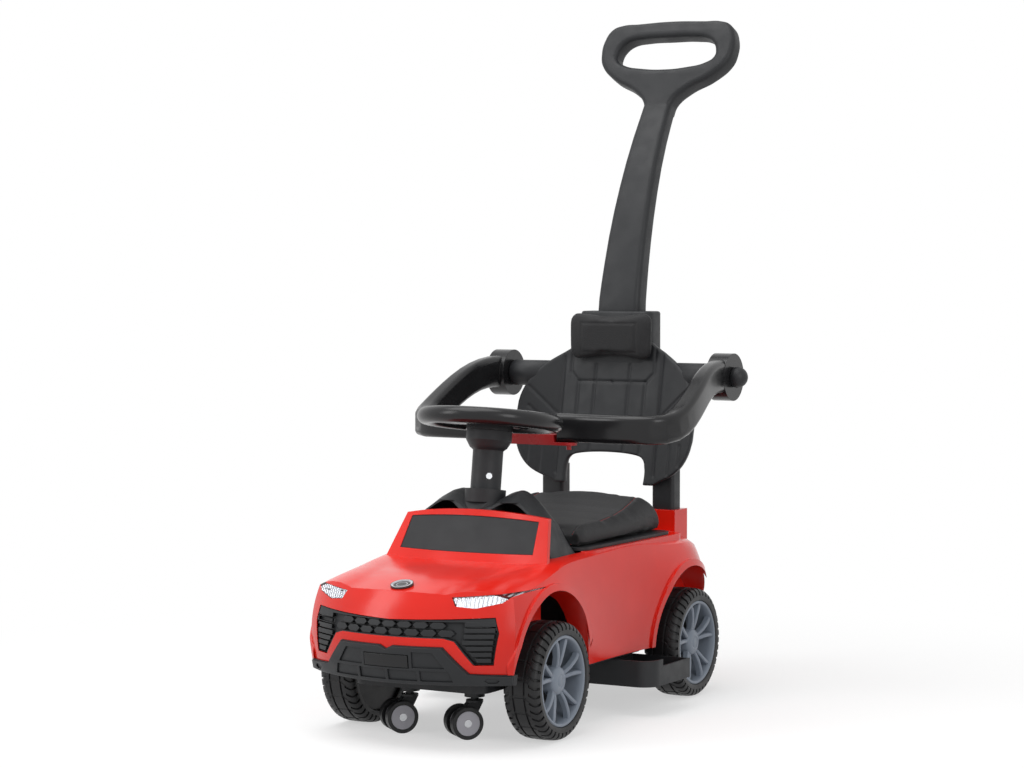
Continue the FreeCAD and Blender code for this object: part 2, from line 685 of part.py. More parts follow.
# Each level of the nose and tail: height as a share of the shell's, draw-in as shares of the two bows.
shell_level_shares = [
    (0.27, 0.28, 0.30), (0.424, 0.07, 0.05), (0.58, 0.0, 0.0), (0.714, 0.07, 0.05),
    (0.826, 0.22, 0.15), (0.96, 0.52, 0.30), (1.25, 1.4, 0.8),
]
side_bulge_share = 0.05
shoulder_bulge_share = 0.1


def bowed(start, end, bulge_share, outward):
    """An arc between two points that swells by a share of its chord."""
    middle = (start + end) * 0.5 + outward * ((end - start).Length * bulge_share)
    return arc(start, middle, end)


def shell_section(station, inset, depth):
    along, sill, waist, waist_z, shoulder, shoulder_z, crease, crease_z, crown = station
    y = nose_y + S.shell_length * along
    wall = float(inset)

    def at(width_share, z):
        return vec(float(shell_half * width_share) - wall, y, z)

    def up(height_share):
        return float(S.shell_height * height_share) - wall

    foot = at(sill, float(S.shell_sill) - float(depth))
    points = [foot, at(waist, up(waist_z)), at(shoulder, up(shoulder_z)), at(crease, up(crease_z))]
    left = [vec(-p.x, p.y, p.z) for p in points]
    out_right = FreeCAD.Vector(1, 0, 0)
    slant = math.sqrt(0.5)
    edges = [
        line(points[0], points[1]), bowed(points[1], points[2], side_bulge_share, out_right),
        bowed(points[2], points[3], shoulder_bulge_share, FreeCAD.Vector(slant, 0, slant)),
        arc(points[3], vec(0, y, up(crown)), left[3]),
        bowed(left[3], left[2], shoulder_bulge_share, FreeCAD.Vector(-slant, 0, slant)),
        bowed(left[2], left[1], side_bulge_share, -out_right), line(left[1], left[0]), line(left[0], points[0]),
    ]
    return Part.Wire(edges)


def shell_level(level, inset):
    z_share, nose_share, tail_share = level
    z = S.shell_height * z_share
    front = nose_y + S.nose_sagitta * nose_share + inset
    rear = tail_y - S.tail_sagitta * tail_share - inset
    reach = shell_half
    corners = [
        vec(-reach, front + S.nose_sagitta, z), vec(reach, front + S.nose_sagitta, z),
        vec(reach, rear - S.tail_sagitta, z), vec(-reach, rear - S.tail_sagitta, z),
    ]
    edges = [
        arc(corners[0], vec(0, front, z), corners[1]), line(corners[1], corners[2]),
        arc(corners[2], vec(0, rear, z), corners[3]), line(corners[3], corners[0]),
    ]
    return Part.Wire(edges)


def shell_volume(inset=0, depth=0, stations=len(shell_station_shares)):
    """The shell's outer form, drawn in by a wall and let down below the sill."""
    length = loft([shell_section(station, inset, depth) for station in shell_station_shares[:stations]])
    bows = loft([shell_level(level, inset) for level in shell_level_shares])
    return length.common(bows)


outer_form = shell_volume()
inner_form = shell_volume(S.shell_wall, S.cut_overrun)
proud_form = shell_volume(-S.trim_proud)


def front_wire(half_shares, inset=0, mirror=True):
    """A front-view outline from shares of the shell's half width and height."""
    points = [(float(shell_half * u), float(S.shell_height * v)) for u, v in half_shares]
    if mirror:
        points += [(-u, v) for u, v in reversed(points) if u > 0]
    wire = closed_wire([vec(u, nose_y - S.cut_overrun, v) for u, v in points])
    return wire.makeOffset2D(-float(inset)) if float(inset) else wire


def front_prism(half_shares, inset=0, mirror=True):
    """A front-view outline carried back over the nose."""
    return prism(front_wire(half_shares, inset, mirror), vec(0, S.front_overhang, 0))


grille_shares = [
    (0, 0.63), (0.48, 0.63), (0.56, 0.615), (0.70, 0.485), (0.84, 0.485), (0.875, 0.66), (0.84, 0.745),
    (0.5, 0.735), (0, 0.723),
]
bumper_shares = [
    (0, 0.30), (1.1, 0.30), (1.1, 0.425), (0.67, 0.44), (0.48, 0.585), (0.06, 0.585), (0, 0.565),
]
headlight_shares = [(0.5, 0.85), (0.54, 0.803), (0.69, 0.792), (0.868, 0.82), (0.955, 0.872)]

# The windscreen frame stands on the cowl as one with the shell, bowed and raked.
def screen_form(ahead=0, aft=0, reach=0):
    """The raked frame, or the space ahead of it or behind it."""
    wires = []
    for z_share in (0, 1):
        z = S.screen_bottom + (S.screen_top + S.screen_crown - S.screen_bottom) * z_share
        half = (S.screen_bottom_width + (S.screen_top_width - S.screen_bottom_width) * z_share) / 2 + reach
        y = behind(S.screen_bottom_setback + (S.screen_top_setback - S.screen_bottom_setback) * z_share)
        front = y - ahead
        rear = y + S.screen_thickness + aft
        bow = S.screen_sagitta * float(half / (half - reach)) ** 2
        corners = [vec(-half, front + bow, z), vec(half, front + bow, z), vec(half, rear + bow, z),
                   vec(-half, rear + bow, z)]
        wires.append(Part.Wire([
            arc(corners[0], vec(0, front, z), corners[1]), line(corners[1], corners[2]),
            arc(corners[2], vec(0, rear, z), corners[3]), line(corners[3], corners[0]),
        ]))
    return loft(wires, True)


def screen_panel_prism(inset=0):
    top_half, low_half = S.panel_top_width / 2 - inset, S.panel_bottom_width / 2 - inset
    top, low = S.panel_top - inset, S.panel_bottom + inset
    y = behind(-S.cut_overrun)
    edges = [
        line(vec(-low_half, y, low), vec(low_half, y, low)), line(vec(low_half, y, low), vec(top_half, y, top)),
        arc(vec(top_half, y, top), vec(0, y, top + S.screen_crown * panel_crown_share), vec(-top_half, y, top)),
        line(vec(-top_half, y, top), vec(-low_half, y, low)),
    ]
    return prism(Part.Wire(edges), vec(0, S.wheelbase, 0))


panel_crown_share = 0.6


def screen_crown_form():
    """The arched top edge of the frame, carried along the car."""
    half = S.screen_bottom_width
    low = S.screen_bottom - S.cut_overrun
    y = behind(-S.wheelbase)
    fall = S.screen_crown * float(half * 2 / S.screen_top_width) ** 2
    edges = [
        line(vec(half, y, low), vec(half, y, S.screen_top - fall)),
        arc(vec(half, y, S.screen_top - fall), vec(0, y, S.screen_top), vec(-half, y, S.screen_top - fall)),
        line(vec(-half, y, S.screen_top - fall), vec(-half, y, low)), line(vec(-half, y, low), vec(half, y, low)),
    ]
    return prism(Part.Wire(edges), vec(0, S.wheelbase * 2, 0))


def wheel_arches(radius, x_in, x_out):
    """Cylinders across the car over both axles and both sides."""
    shapes = []
    for y, arch_radius in ((front_axle_y, S.front_arch_radius), (rear_axle_y, S.rear_arch_radius)):
        for side in sides.values():
            shapes.append(rod(arch_radius + radius, vec(side * x_in, y, arch_z), vec(side * x_out, y, arch_z)))
    return shapes


def rounded_prism(x_half, y_low, y_high, z_low, z_high, corner):
    """An upright block with rounded corners, centred across the car."""
    centre = vec(0, (y_low + y_high) / 2, z_low)
    wire = rounded_rectangle(centre, X_AXIS, Y_AXIS, x_half * 2, y_high - y_low, corner)
    return prism(wire, vec(0, 0, z_high - z_low))


def post_block(side, clearance, z_low, z_high):
    """The rectangle of one backrest post, at any clearance."""
    centre = vec(side * S.post_spread / 2, behind(S.post_centre), z_low)
    wire = rounded_rectangle(centre, X_AXIS, Y_AXIS, S.post_width + clearance * 2, S.post_depth + clearance * 2,
                             S.post_corner + clearance)
    return prism(wire, vec(0, 0, z_high - z_low))


def make_shell():
    liner_in = S.arch_liner_inner / 2
    flare_in = shell_half * flare_inner_share
    liners = [arch.common(outer_form) for arch in wheel_arches(S.shell_wall, liner_in - S.shell_wall, shell_half)]
    flares = [arch.common(proud_form).cut(inner_form)
              for arch in wheel_arches(S.arch_lip, flare_in, S.shell_width)]
    frame = screen_form().common(screen_crown_form())
    sockets = []
    for side in sides.values():
        x = side * S.post_spread / 2
        y = behind(S.post_centre)
        sockets.append(box(x - S.socket_width / 2, y - S.socket_depth / 2, S.socket_bottom,
                           x + S.socket_width / 2, y + S.socket_depth / 2, S.socket_top))
    rim = rounded_prism(S.cockpit_width / 2 + S.cockpit_rim, behind(S.seat_front), behind(S.cockpit_rear) + S.cockpit_rim,
                        S.seat_hinge_height, S.shell_height, S.cockpit_corner)
    shell = outer_form.cut(inner_form).fuse(liners + flares + [frame, rim] + sockets)
    ahead = screen_form(S.cut_overrun)
    recess = screen_panel_prism().common(ahead.cut(screen_form(-S.panel_depth, S.cut_overrun, S.cut_overrun)))
    opening = rounded_prism(S.cockpit_width / 2, behind(S.cockpit_front), behind(S.cockpit_rear),
                            S.shell_sill, S.shell_height + S.cut_overrun, S.cockpit_corner)
    lamp = front_prism(headlight_shares, 0, False)
    cuts = wheel_arches(0, liner_in, S.shell_width) + [
        recess, opening.cut(screen_form()), front_prism(grille_shares), front_prism(bumper_shares),
        lamp, mirrored(lamp),
    ]
    cuts += [post_block(side, S.seat_gap, S.post_foot - S.seat_gap, S.overall_height) for side in sides.values()]
    shell = shell.cut(cuts)
    hinge_y = behind(S.seat_hinge_setback)
    ears = []
    for side in sides.values():
        x = side * S.hinge_ear_spread / 2
        ears.append(box(x - S.hinge_ear_width / 2, hinge_y - S.knuckle_size / 2,
                        S.seat_hinge_height - S.knuckle_size / 2, x + S.hinge_ear_width / 2,
                        behind(S.cockpit_rear) + S.shell_wall, S.shell_height - S.shell_wall))
    pin_bore = rod(S.hinge_pin_diameter / 2 + S.running_fit, vec(-S.hinge_pin_length, hinge_y, S.seat_hinge_height),
                   vec(S.hinge_pin_length, hinge_y, S.seat_hinge_height))
    return shell.fuse(ears).cut(pin_bore).removeSplitter()


flare_inner_share = 0.93
shell_shape = make_shell()
print("shell", len(shell_shape.Solids))
solid_feature("body_shell", shell_shape)

# Windscreen panel: a dull black sheet let into the frame.
panel_space = screen_form(0, S.cut_overrun).cut(
    screen_form(-S.panel_depth + S.seat_gap, S.cut_overrun * 2, S.cut_overrun))
panel_front = screen_form(S.cut_overrun).cut(
    screen_form(-S.panel_depth + S.panel_thickness, S.cut_overrun * 2, S.cut_overrun))
solid_feature("windscreen_panel", screen_panel_prism(S.seat_gap).common(panel_space.cut(panel_front)))


# Nose pieces, cut from the shell's own form so that they sit in its openings.
def skin(outside, inside):
    """The layer of the nose between two depths below the shell's surface."""
    return nose_forms(outside).cut(nose_forms(inside))


form_store = {}
nose_stations = 7


def nose_forms(depth):
    key = round(float(depth), 3)
    if key not in form_store:
        form_store[key] = shell_volume(depth, S.cut_overrun, nose_stations)
    return form_store[key]


def hexagon(x, z, radius):
    y = nose_y - S.cut_overrun
    turns = [math.radians(60 * step + 30) for step in range(6)]
    return [vec(x + radius * math.cos(turn), y, z + radius * math.sin(turn)) for turn in turns]


def make_grille():
    """A moulded honeycomb behind the grille opening, with a plain margin."""
    plate = skin(S.grille_recess, S.grille_recess + S.grille_thickness)
    plate = plate.common(front_prism(grille_shares, S.seat_gap))
    pitch = float(S.grille_cell)
    radius = (pitch - float(S.grille_bar)) / math.sqrt(3)
    margin = front_wire(grille_shares, S.grille_bar * 2)
    face = Part.Face(margin)
    cells = []
    rows = math.ceil(float(S.shell_height) / pitch)
    columns = math.ceil(float(shell_half) / pitch)
    row_step = pitch * math.sqrt(3) / 2
    for row in range(rows):
        z = row_step * (row + 0.5)
        for column in range(-columns, columns + 1):
            x = pitch * (column + 0.5 * (row % 2))
            corners = hexagon(x, z, radius)
            if all(face.isInside(point, float(S.running_fit), True) for point in corners):
                cells.append(prism(closed_wire(corners), vec(0, S.front_overhang, 0)))
    return plate.cut(cells)


solid_feature("upper_grille", make_grille())


def make_bumper():
    layer = proud_form.cut(nose_forms(S.bumper_thickness - S.trim_proud))
    above = box(-S.shell_width, nose_y - S.cut_overrun, S.bumper_underside, S.shell_width,
                front_axle_y - S.front_arch_radius + S.arch_lip, S.shell_height)
    return layer.common(front_prism(bumper_shares, S.seat_gap)).common(above)


bumper_shape = make_bumper()
solid_feature("front_bumper", bumper_shape)


def make_plate():
    """A bare number plate, flat against the bumper's bowed front."""
    half = S.plate_width / 2
    low, high = S.plate_level - S.plate_height / 2, S.plate_level + S.plate_height / 2
    block = box(-half, nose_y - S.cut_overrun, low, half, nose_y + S.cut_overrun, high)
    layer = nose_forms(-S.trim_proud - S.plate_thickness).cut(nose_forms(-S.trim_proud - S.running_fit))
    return block.common(layer)


solid_feature("number_plate", make_plate())

lens_layer = skin(0, S.lens_thickness)
reflector_layer = skin(S.lens_thickness + S.seat_gap, S.lens_thickness + S.reflector_thickness)
lens_right = lens_layer.common(front_prism(headlight_shares, S.seat_gap, False))
reflector_right = reflector_layer.common(front_prism(headlight_shares, S.seat_gap, False))
solid_feature("headlight_lenses", Part.makeCompound([lens_right, mirrored(lens_right)]))
solid_feature("headlight_reflectors", Part.makeCompound([reflector_right, mirrored(reflector_right)]))


def make_badge():
    """A plain round badge with a raised rim, lying on the bonnet's slope."""
    y = behind(S.badge_setback)
    normal = vec(0, -bonnet_slope_share, 1).normalize()
    probe = Part.makeLine(vec(0, y, S.shell_sill), vec(0, y, S.overall_height))
    top = max(vertex.Z for vertex in outer_form.common(probe).Vertexes)
    seat = vec(0, y, top) + normal * float(S.seat_gap)
    disc = rod(S.badge_diameter / 2, seat, seat + normal * float(S.badge_thickness))
    bowl_floor = seat + normal * float(S.badge_thickness - S.badge_sink)
    bowl = rod(S.badge_diameter / 2 - S.badge_rim, bowl_floor, bowl_floor + normal * float(S.badge_thickness))
    return disc.cut(bowl).cut(proud_less)


bonnet_slope_share = 0.25
proud_less = nose_forms(-S.seat_gap)
solid_feature("bonnet_badge", make_badge())

# Dashboard cover: twin humps behind the screen, with a collar for the steering column.
dash_height = S.dash_top - S.dash_bottom
dash_half = S.dash_width / 2
column_axis = vec(0, math.sin(math.radians(float(S.column_tilt))), math.cos(math.radians(float(S.column_tilt))))
wheel_centre = vec(0, behind(S.wheel_centre_setback), S.wheel_centre_height)


def on_column(drop):
    """A point on the column's axis, measured down from the steering wheel's centre."""
    return wheel_centre - column_axis * float(drop)


# Each station: place along the dash, side width and height, hump height, valley height, as shares.
dash_station_shares = [
    (0.0, 0.86, 0.50, 0.74, 0.69), (0.18, 0.85, 0.56, 0.86, 0.74), (0.36, 0.84, 0.58, 0.945, 0.765),
    (0.54, 0.83, 0.575, 0.99, 0.775), (0.7, 0.82, 0.55, 1.0, 0.77), (0.82, 0.81, 0.50, 0.94, 0.73),
    (0.92, 0.80, 0.41, 0.78, 0.63), (1.0, 0.78, 0.32, 0.53, 0.45),
]
hump_share = 0.4


def dash_form(inset=0, depth=0):
    wires = []
    for along, side_w, side_z, hump, valley in dash_station_shares:
        y = behind(S.dash_front) + (S.dash_rear - S.dash_front) * along
        y = y + inset if along == 0 else y
        y = y - inset if along == 1 else y
        low = S.dash_bottom - depth

        def up(share):
            return S.dash_bottom + dash_height * share - inset

        foot, side = vec(dash_half - inset, y, low), vec(dash_half * side_w - inset, y, up(side_z))
        crest, dip = vec(dash_half * hump_share, y, up(hump)), vec(0, y, up(valley))
        brow = vec(dash_half * (side_w + hump_share) / 2, y, up(hump - (hump - side_z) * brow_share))
        ease = vec(dash_half * hump_share / 2, y, up((hump + valley) / 2))
        curve = Part.BSplineCurve()
        points = [side, brow, crest, ease, dip]
        points += [vec(-p.x, p.y, p.z) for p in reversed(points[:-1])]
        curve.interpolate(points)
        left_foot, left_side = vec(-foot.x, y, low), points[-1]
        wires.append(Part.Wire([line(left_foot, foot), line(foot, side), curve.toShape(),
                                line(left_side, left_foot)]))
    return loft(wires, True)


brow_share = 0.38
collar_top_drop = (wheel_centre.z - float(S.collar_level)) / column_axis.z
collar_end_drop = collar_top_drop + float(S.collar_diameter)


def make_dash():
    ahead = screen_form(S.wheelbase, S.skin_gap, S.cut_overrun)
    collar = rod(S.collar_diameter / 2, on_column(collar_end_drop), on_column(collar_top_drop))
    bore = rod(S.column_diameter / 2 + S.running_fit, on_column(collar_end_drop + float(S.cut_overrun)),
               on_column(0))
    deck = box(-S.shell_width, nose_y, 0, S.shell_width, tail_y, S.shell_height + S.seat_gap)
    deck = deck.cut(rounded_prism(S.cockpit_width / 2 - S.seat_gap, behind(S.cockpit_front) + S.seat_gap,
                                  behind(S.cockpit_rear), 0, S.overall_height, S.cockpit_corner))
    cover = dash_form().cut(dash_form(S.dash_wall, S.cut_overrun)).fuse(collar).cut([ahead, bore, deck])
    return cover.removeSplitter()


dash_shape = make_dash()
print("dash", len(dash_shape.Solids))
solid_feature("dashboard_cover", dash_shape)

# Steering: wheel, horn button, column with its bulb, screw, shaft, retainer and bearing block.
column_turn = -S.column_tilt
bulb_end = S.hub_drop + S.bulb_height
column_end = bulb_end + S.column_length
shaft_top = bulb_end + S.hub_drop


def on_wheel(feature):
    """Puts a piece that is modelled about the wheel's centre on the tilted column."""
    place(feature, 0, behind(S.wheel_centre_setback), S.wheel_centre_height, axis=(1, 0, 0), angle=column_turn)


def make_steering_wheel():
    tube = float(S.steering_tube) / 2
    ring_radius = float(S.steering_diameter) / 2 - tube
    rim = Part.makeTorus(ring_radius, tube)
    hub_top = S.hub_thickness - S.hub_drop
    hub = rod(S.steering_hub_diameter / 2, vec(0, 0, -S.hub_drop), vec(0, 0, hub_top))
    spokes = []
    for angle in (0, 90, 180):
        spoke = box(S.horn_diameter / 2, -S.spoke_width / 2, -S.spoke_thickness / 2, ring_radius,
                    S.spoke_width / 2, S.spoke_thickness / 2)
        spoke.rotate(vec(0, 0, 0), Z_AXIS, angle)
        spokes.append(spoke)
    well = rod(S.horn_diameter / 2 + S.seat_gap, vec(0, 0, hub_top - S.horn_recess), vec(0, 0, S.steering_diameter))
    return rim.fuse([hub] + spokes).cut(well).removeSplitter()


on_wheel(solid_feature("steering_wheel", make_steering_wheel()))


def make_horn():
    body = new_body("horn_button")
    floor = S.hub_thickness - S.hub_drop - S.horn_recess + S.horn_travel + S.skin_gap
    top = floor + S.horn_height
    radius = S.horn_diameter / 2
    profile = [(0, floor), (radius, floor), (radius, top - S.horn_travel), (radius - S.horn_travel, top), (0, top)]
    revolve(body, outlines(body, "XZ_Plane", [profile]), axis="V_Axis")
    return body


on_wheel(make_horn())


def screw_way():
    """The direction in which the column's side screw points, square to the column."""
    return vec(math.cos(math.radians(screw_bearing)), math.sin(math.radians(screw_bearing)), 0)


screw_bearing = -50


def make_column():
    radius, bulb = S.column_diameter / 2, S.bulb_diameter / 2
    bore = S.shaft_diameter / 2 + S.seat_gap
    top = -S.hub_drop - S.seat_gap
    profile = [
        vec(0, 0, -shaft_top), vec(bore, 0, -shaft_top), vec(bore, 0, -column_end), vec(radius, 0, -column_end),
        vec(radius, 0, -bulb_end), vec(bulb * bulb_neck_share, 0, -bulb_end + S.bulb_height * bulb_rise_share),
        vec(bulb, 0, -bulb_end + S.bulb_height * bulb_side_share), vec(bulb, 0, top), vec(0, 0, top),
    ]
    turned = Part.Face(closed_wire(profile)).revolve(vec(0, 0, 0), Z_AXIS, 360)
    way = screw_way()
    start = vec(0, 0, -S.column_screw_drop)
    head_depth = float(S.column_diameter / 2 - S.screw_head_height)
    head = rod(S.column_screw_diameter / 2 + S.seat_gap, start + way * head_depth, start + way * float(bulb))
    shank = rod(S.screw_shank_diameter / 2 + S.seat_gap, start, start + way * float(bulb))
    return turned.cut([head, shank])


bulb_neck_share = 0.82
bulb_rise_share = 0.14
bulb_side_share = 0.5
on_wheel(solid_feature("steering_column", make_column()))


def make_column_screw():
    way = screw_way()
    start = vec(0, 0, -S.column_screw_drop)
    seat = float(S.column_diameter / 2 - S.screw_head_height + S.seat_gap)
    head = rod(S.column_screw_diameter / 2, start + way * seat, start + way * float(S.column_diameter / 2))
    shank = rod(S.screw_shank_diameter / 2, start + way * float(S.shaft_diameter / 2 + S.seat_gap),
                start + way * (seat + float(S.screw_head_height) / 2))
    return head.fuse(shank).removeSplitter()


on_wheel(solid_feature("column_screw", make_column_screw()))
shaft_end_drop = (S.wheel_centre_height - S.shaft_end_height) / column_axis.z
shaft = doc.addObject("Part::Cylinder", "steering_shaft")
shaft.Label = "steering_shaft"
bind(shaft, "Radius", S.shaft_diameter / 2)
bind(shaft, "Height", shaft_end_drop - shaft_top - S.seat_gap)
foot = on_column(shaft_end_drop)
shaft.Placement = FreeCAD.Placement(foot, FreeCAD.Rotation(X_AXIS, float(column_turn)))


def make_retainer():
    """A ring on the shaft, under the collar, that keeps the column from lifting out."""
    high = on_column(collar_end_drop + float(S.skin_gap))
    low = on_column(collar_end_drop + float(S.skin_gap + S.retainer_thickness))
    disc = rod(S.retainer_diameter / 2, low, high)
    return disc.cut(rod(S.shaft_diameter / 2 + S.seat_gap, on_column(shaft_end_drop), on_column(0)))


solid_feature("shaft_retainer", make_retainer())


def make_bearing():
    """A block on the pan's floor that the shaft turns in."""
    half = S.bearing_width / 2
    block = box(-half, foot.y - float(half), pan_floor, half, foot.y + float(half), pan_floor + S.bearing_height)
    return block.cut(rod(S.shaft_diameter / 2 + S.running_fit, on_column(shaft_end_drop + S.running_fit),
                         on_column(0)))


solid_feature("shaft_bearing", make_bearing())


# Storage tub on the pan's floor, closed by the seat.
def make_tub():
    body = new_body("storage_tub")
    low = pan_floor + S.seat_gap
    tray(body, S.tub_width / 2, behind(S.tub_front), behind(S.tub_rear), low, S.tub_top, low + S.tub_wall,
         S.tub_wall, S.tub_corner)


make_tub()

# Seat lid with its knuckles, hinge pin, and the crowned cushion on top.
lid_bottom = S.shell_height + S.seat_gap
lid_top = lid_bottom + S.lid_thickness
hinge_y = behind(S.seat_hinge_setback)


def make_lid():
    body = new_body("seat_lid")
    half = S.lid_width / 2
    plan = rectangle(-half, behind(S.seat_front), half, hinge_y - S.lid_setback)
    plate = pad(body, outlines(body, "XY_Plane", [plan], lid_bottom), S.lid_thickness)
    round_edges(body, plate, S.lid_corner, upright)
    low, top = S.seat_hinge_height - S.knuckle_size / 2, lid_bottom + S.lid_thickness / 2
    front, rear = hinge_y - S.knuckle_size / 2, hinge_y + S.knuckle_size / 2
    swing_clear = S.seat_hinge_height + S.knuckle_size / 3
    block = [(front, low), (rear, low), (rear, swing_clear), (hinge_y, top), (front, top)]
    for side in (1, -1):
        centre = side * S.knuckle_spread / 2
        knuckle = outlines(body, "YZ_Plane", [block], centre - S.knuckle_width / 2)
        pad(body, knuckle, S.knuckle_width)
    bore = circles(body, "YZ_Plane", [(hinge_y, S.seat_hinge_height, S.hinge_pin_diameter / 2 + S.running_fit)])
    pocket(body, bore, S.hinge_pin_length * 2, symmetric=True)


make_lid()
pin = doc.addObject("Part::Cylinder", "seat_hinge_pin")
pin.Label = "seat_hinge_pin"
bind(pin, "Radius", S.hinge_pin_diameter / 2)
bind(pin, "Height", S.hinge_pin_length)
place(pin, -S.hinge_pin_length / 2, hinge_y, S.seat_hinge_height, axis=(0, 1, 0), angle=90)

# Each station: place along the seat, width at the edge, width at the seam, edge height and crown height.
cushion_station_shares = [
    (0.0, 0.94, 0.75, 0.30, 0.36), (0.015, 0.96, 0.765, 0.41, 0.46), (0.05, 0.975, 0.77, 0.455, 0.50),
    (0.18, 0.985, 0.77, 0.46, 0.505), (0.36, 0.985, 0.755, 0.475, 0.52), (0.52, 0.975, 0.725, 0.53, 0.58),
    (0.66, 0.96, 0.685, 0.63, 0.68), (0.78, 0.94, 0.645, 0.76, 0.82), (0.86, 0.915, 0.615, 0.87, 0.94),
    (0.91, 0.90, 0.60, 0.92, 1.0), (0.95, 0.885, 0.585, 0.87, 0.94), (0.98, 0.87, 0.57, 0.70, 0.76),
    (1.0, 0.85, 0.56, 0.42, 0.46),
]


def make_cushion():
    wires = []
    low = lid_top + S.skin_gap
    half = S.cushion_width / 2
    for along, edge, seam, edge_z, crown in cushion_station_shares:
        y = behind(S.seat_front) + (S.seat_rear - S.seat_front) * along
        foot = vec(half * edge * draw_in_share, y, low)
        swell = vec(half * edge, y, low + S.cushion_crest_height * edge_z * swell_share)
        shoulder = vec(half * seam, y, low + S.cushion_crest_height * edge_z)
        top = vec(0, y, low + S.cushion_crest_height * crown)
        others = [vec(-p.x, p.y, p.z) for p in (foot, swell, shoulder)]
        wires.append(Part.Wire([
            arc(foot, swell, shoulder), arc(shoulder, top, others[2]), arc(others[2], others[1], others[0]),
            line(others[0], foot),
        ]))
    return loft(wires, True)


draw_in_share = 0.97
swell_share = 0.45
solid_feature("seat_cushion", make_cushion())

# Backrest: dished front and plain back on two posts, with a neck that holds the push handle.
back_half = S.back_width / 2
pivot_y = behind(S.pivot_setback)
back_shares = SimpleNamespace(flank_width_share=0.685, hip_width_share=0.945, hip_height_share=0.155,
                              waist_height_share=0.44, chest_width_share=0.877, chest_height_share=0.855,
                              arch_shoulder_share=0.63, arch_leg_share=0.44)


def back_outline(y, inset=0):
    """The backrest's oval with the arch between its feet, in the plane of a given Y."""
    rise = S.back_top - S.back_bottom
    low, high = S.back_bottom + inset, S.back_top - inset

    def at(x, z):
        return vec(x, y, z)

    arch_half, arch_high = S.back_arch_width / 2 + inset, S.back_arch_top + inset
    arch_flat = arch_half * back_shares.arch_shoulder_share
    arch_leg = low + (S.back_arch_top - S.back_bottom) * back_shares.arch_leg_share
    lean = math.sqrt(0.5)
    knee = at(arch_flat + (arch_half - arch_flat) * lean, arch_leg + (arch_high - arch_leg) * lean)
    flank = back_half * back_shares.flank_width_share
    waist = at(back_half - inset, low + rise * back_shares.waist_height_share)
    hip = at(back_half * back_shares.hip_width_share - inset, low + rise * back_shares.hip_height_share)
    chest = at(back_half * back_shares.chest_width_share - inset, low + rise * back_shares.chest_height_share)
    crown = at(S.neck_width / 2, high)
    right = [
        arc(at(arch_flat, arch_high), knee, at(arch_half, arch_leg)), line(at(arch_half, arch_leg), at(arch_half, low)),
        line(at(arch_half, low), at(flank, low)), arc(at(flank, low), hip, waist), arc(waist, chest, crown),
    ]
    left = [mirrored(edge) for edge in right]
    bridge = [line(at(-arch_flat, arch_high), at(arch_flat, arch_high)),
              line(at(S.neck_width / 2, high), at(-S.neck_width / 2, high))]
    return Part.Wire(Part.__sortEdges__(right + left + bridge))


def back_slab(front, rear):
    return prism(back_outline(behind(front)), vec(0, rear - front, 0))


def back_cuts():
    """Room in the backrest for the posts, the pivot tubes and the headrest."""
    cuts = [post_block(side, S.seat_gap, S.post_foot, S.post_top + S.seat_gap) for side in sides.values()]
    for side in sides.values():
        start = vec(side * S.pivot_tube_inner, pivot_y, S.pivot_height)
        end = vec(side * S.back_width, pivot_y, S.pivot_height)
        cuts.append(rod(S.pivot_tube_diameter / 2 + S.seat_gap, start, end))
    half = S.headrest_width / 2 + S.skin_gap
    cuts.append(box(-half, behind(S.back_front - S.cut_overrun), S.headrest_bottom - S.skin_gap, half,
                    behind(S.neck_front), S.overall_height))
    return cuts


def make_back_front():
    slab = back_slab(S.back_front, S.back_split)
    radius = (float(back_half) ** 2 + float(S.back_dish) ** 2) / (2 * float(S.back_dish))
    deep_y = float(behind(S.back_front + S.back_dish))
    dish = Part.makeCylinder(radius, float(S.overall_height), vec(0, deep_y - radius, 0), Z_AXIS)
    return slab.cut([dish] + back_cuts())


def make_back_rear():
    slab = back_slab(S.back_split + S.seat_gap, S.back_rear)
    half = S.neck_width / 2
    depth = S.neck_rear - S.neck_front
    centre = vec(0, behind(S.neck_front + depth / 2), S.headrest_bottom)
    neck = prism(rounded_rectangle(centre, X_AXIS, Y_AXIS, S.neck_width, depth, S.neck_edge),
                 vec(0, 0, S.neck_top - S.headrest_bottom))
    slab = slab.cut(back_cuts()).fuse(neck)
    return slab.cut([handle_foot_form(S.seat_gap), button_bore(S.seat_gap)]).removeSplitter()


# The push handle: a curved tapering shaft with a D grip, foot in the backrest's neck.
tilt = math.radians(float(S.grip_tilt))
grip_up = vec(0, math.sin(tilt), math.cos(tilt))
grip_back = vec(0, math.cos(tilt), -math.sin(tilt))
half_grip = float(S.grip_thickness) / 2
eased = float(S.grip_edge)
grip_core = float(S.grip_height) - eased
grip_root = vec(0, float(S.overall_length) / 2 - eased - grip_core * grip_up.y - (half_grip - eased) * grip_back.y,
                float(S.overall_height) - eased - grip_core * grip_up.z + (half_grip - eased) * grip_back.z)
handle_foot_y = behind(S.handle_foot_setback)
# Each station: height, setback and taper, as shares of the way from the neck's top to the grip.
handle_station_shares = [
    (0.0, 0.0, 0.0), (0.05, 0.012, 0.03), (0.12, 0.05, 0.09), (0.22, 0.112, 0.19), (0.34, 0.198, 0.3),
    (0.46, 0.3, 0.43), (0.58, 0.42, 0.57), (0.7, 0.557, 0.71), (0.82, 0.718, 0.84), (0.92, 0.873, 0.94),
    (1.0, 1.0, 1.0),
]


def handle_foot_form(gap):
    centre = vec(0, handle_foot_y, S.handle_foot - gap)
    wire = rounded_rectangle(centre, X_AXIS, Y_AXIS, S.handle_foot_width + gap * 2, S.handle_foot_depth + gap * 2,
                             S.grip_edge)
    return prism(wire, vec(0, 0, S.neck_top - S.handle_foot + gap * 2))


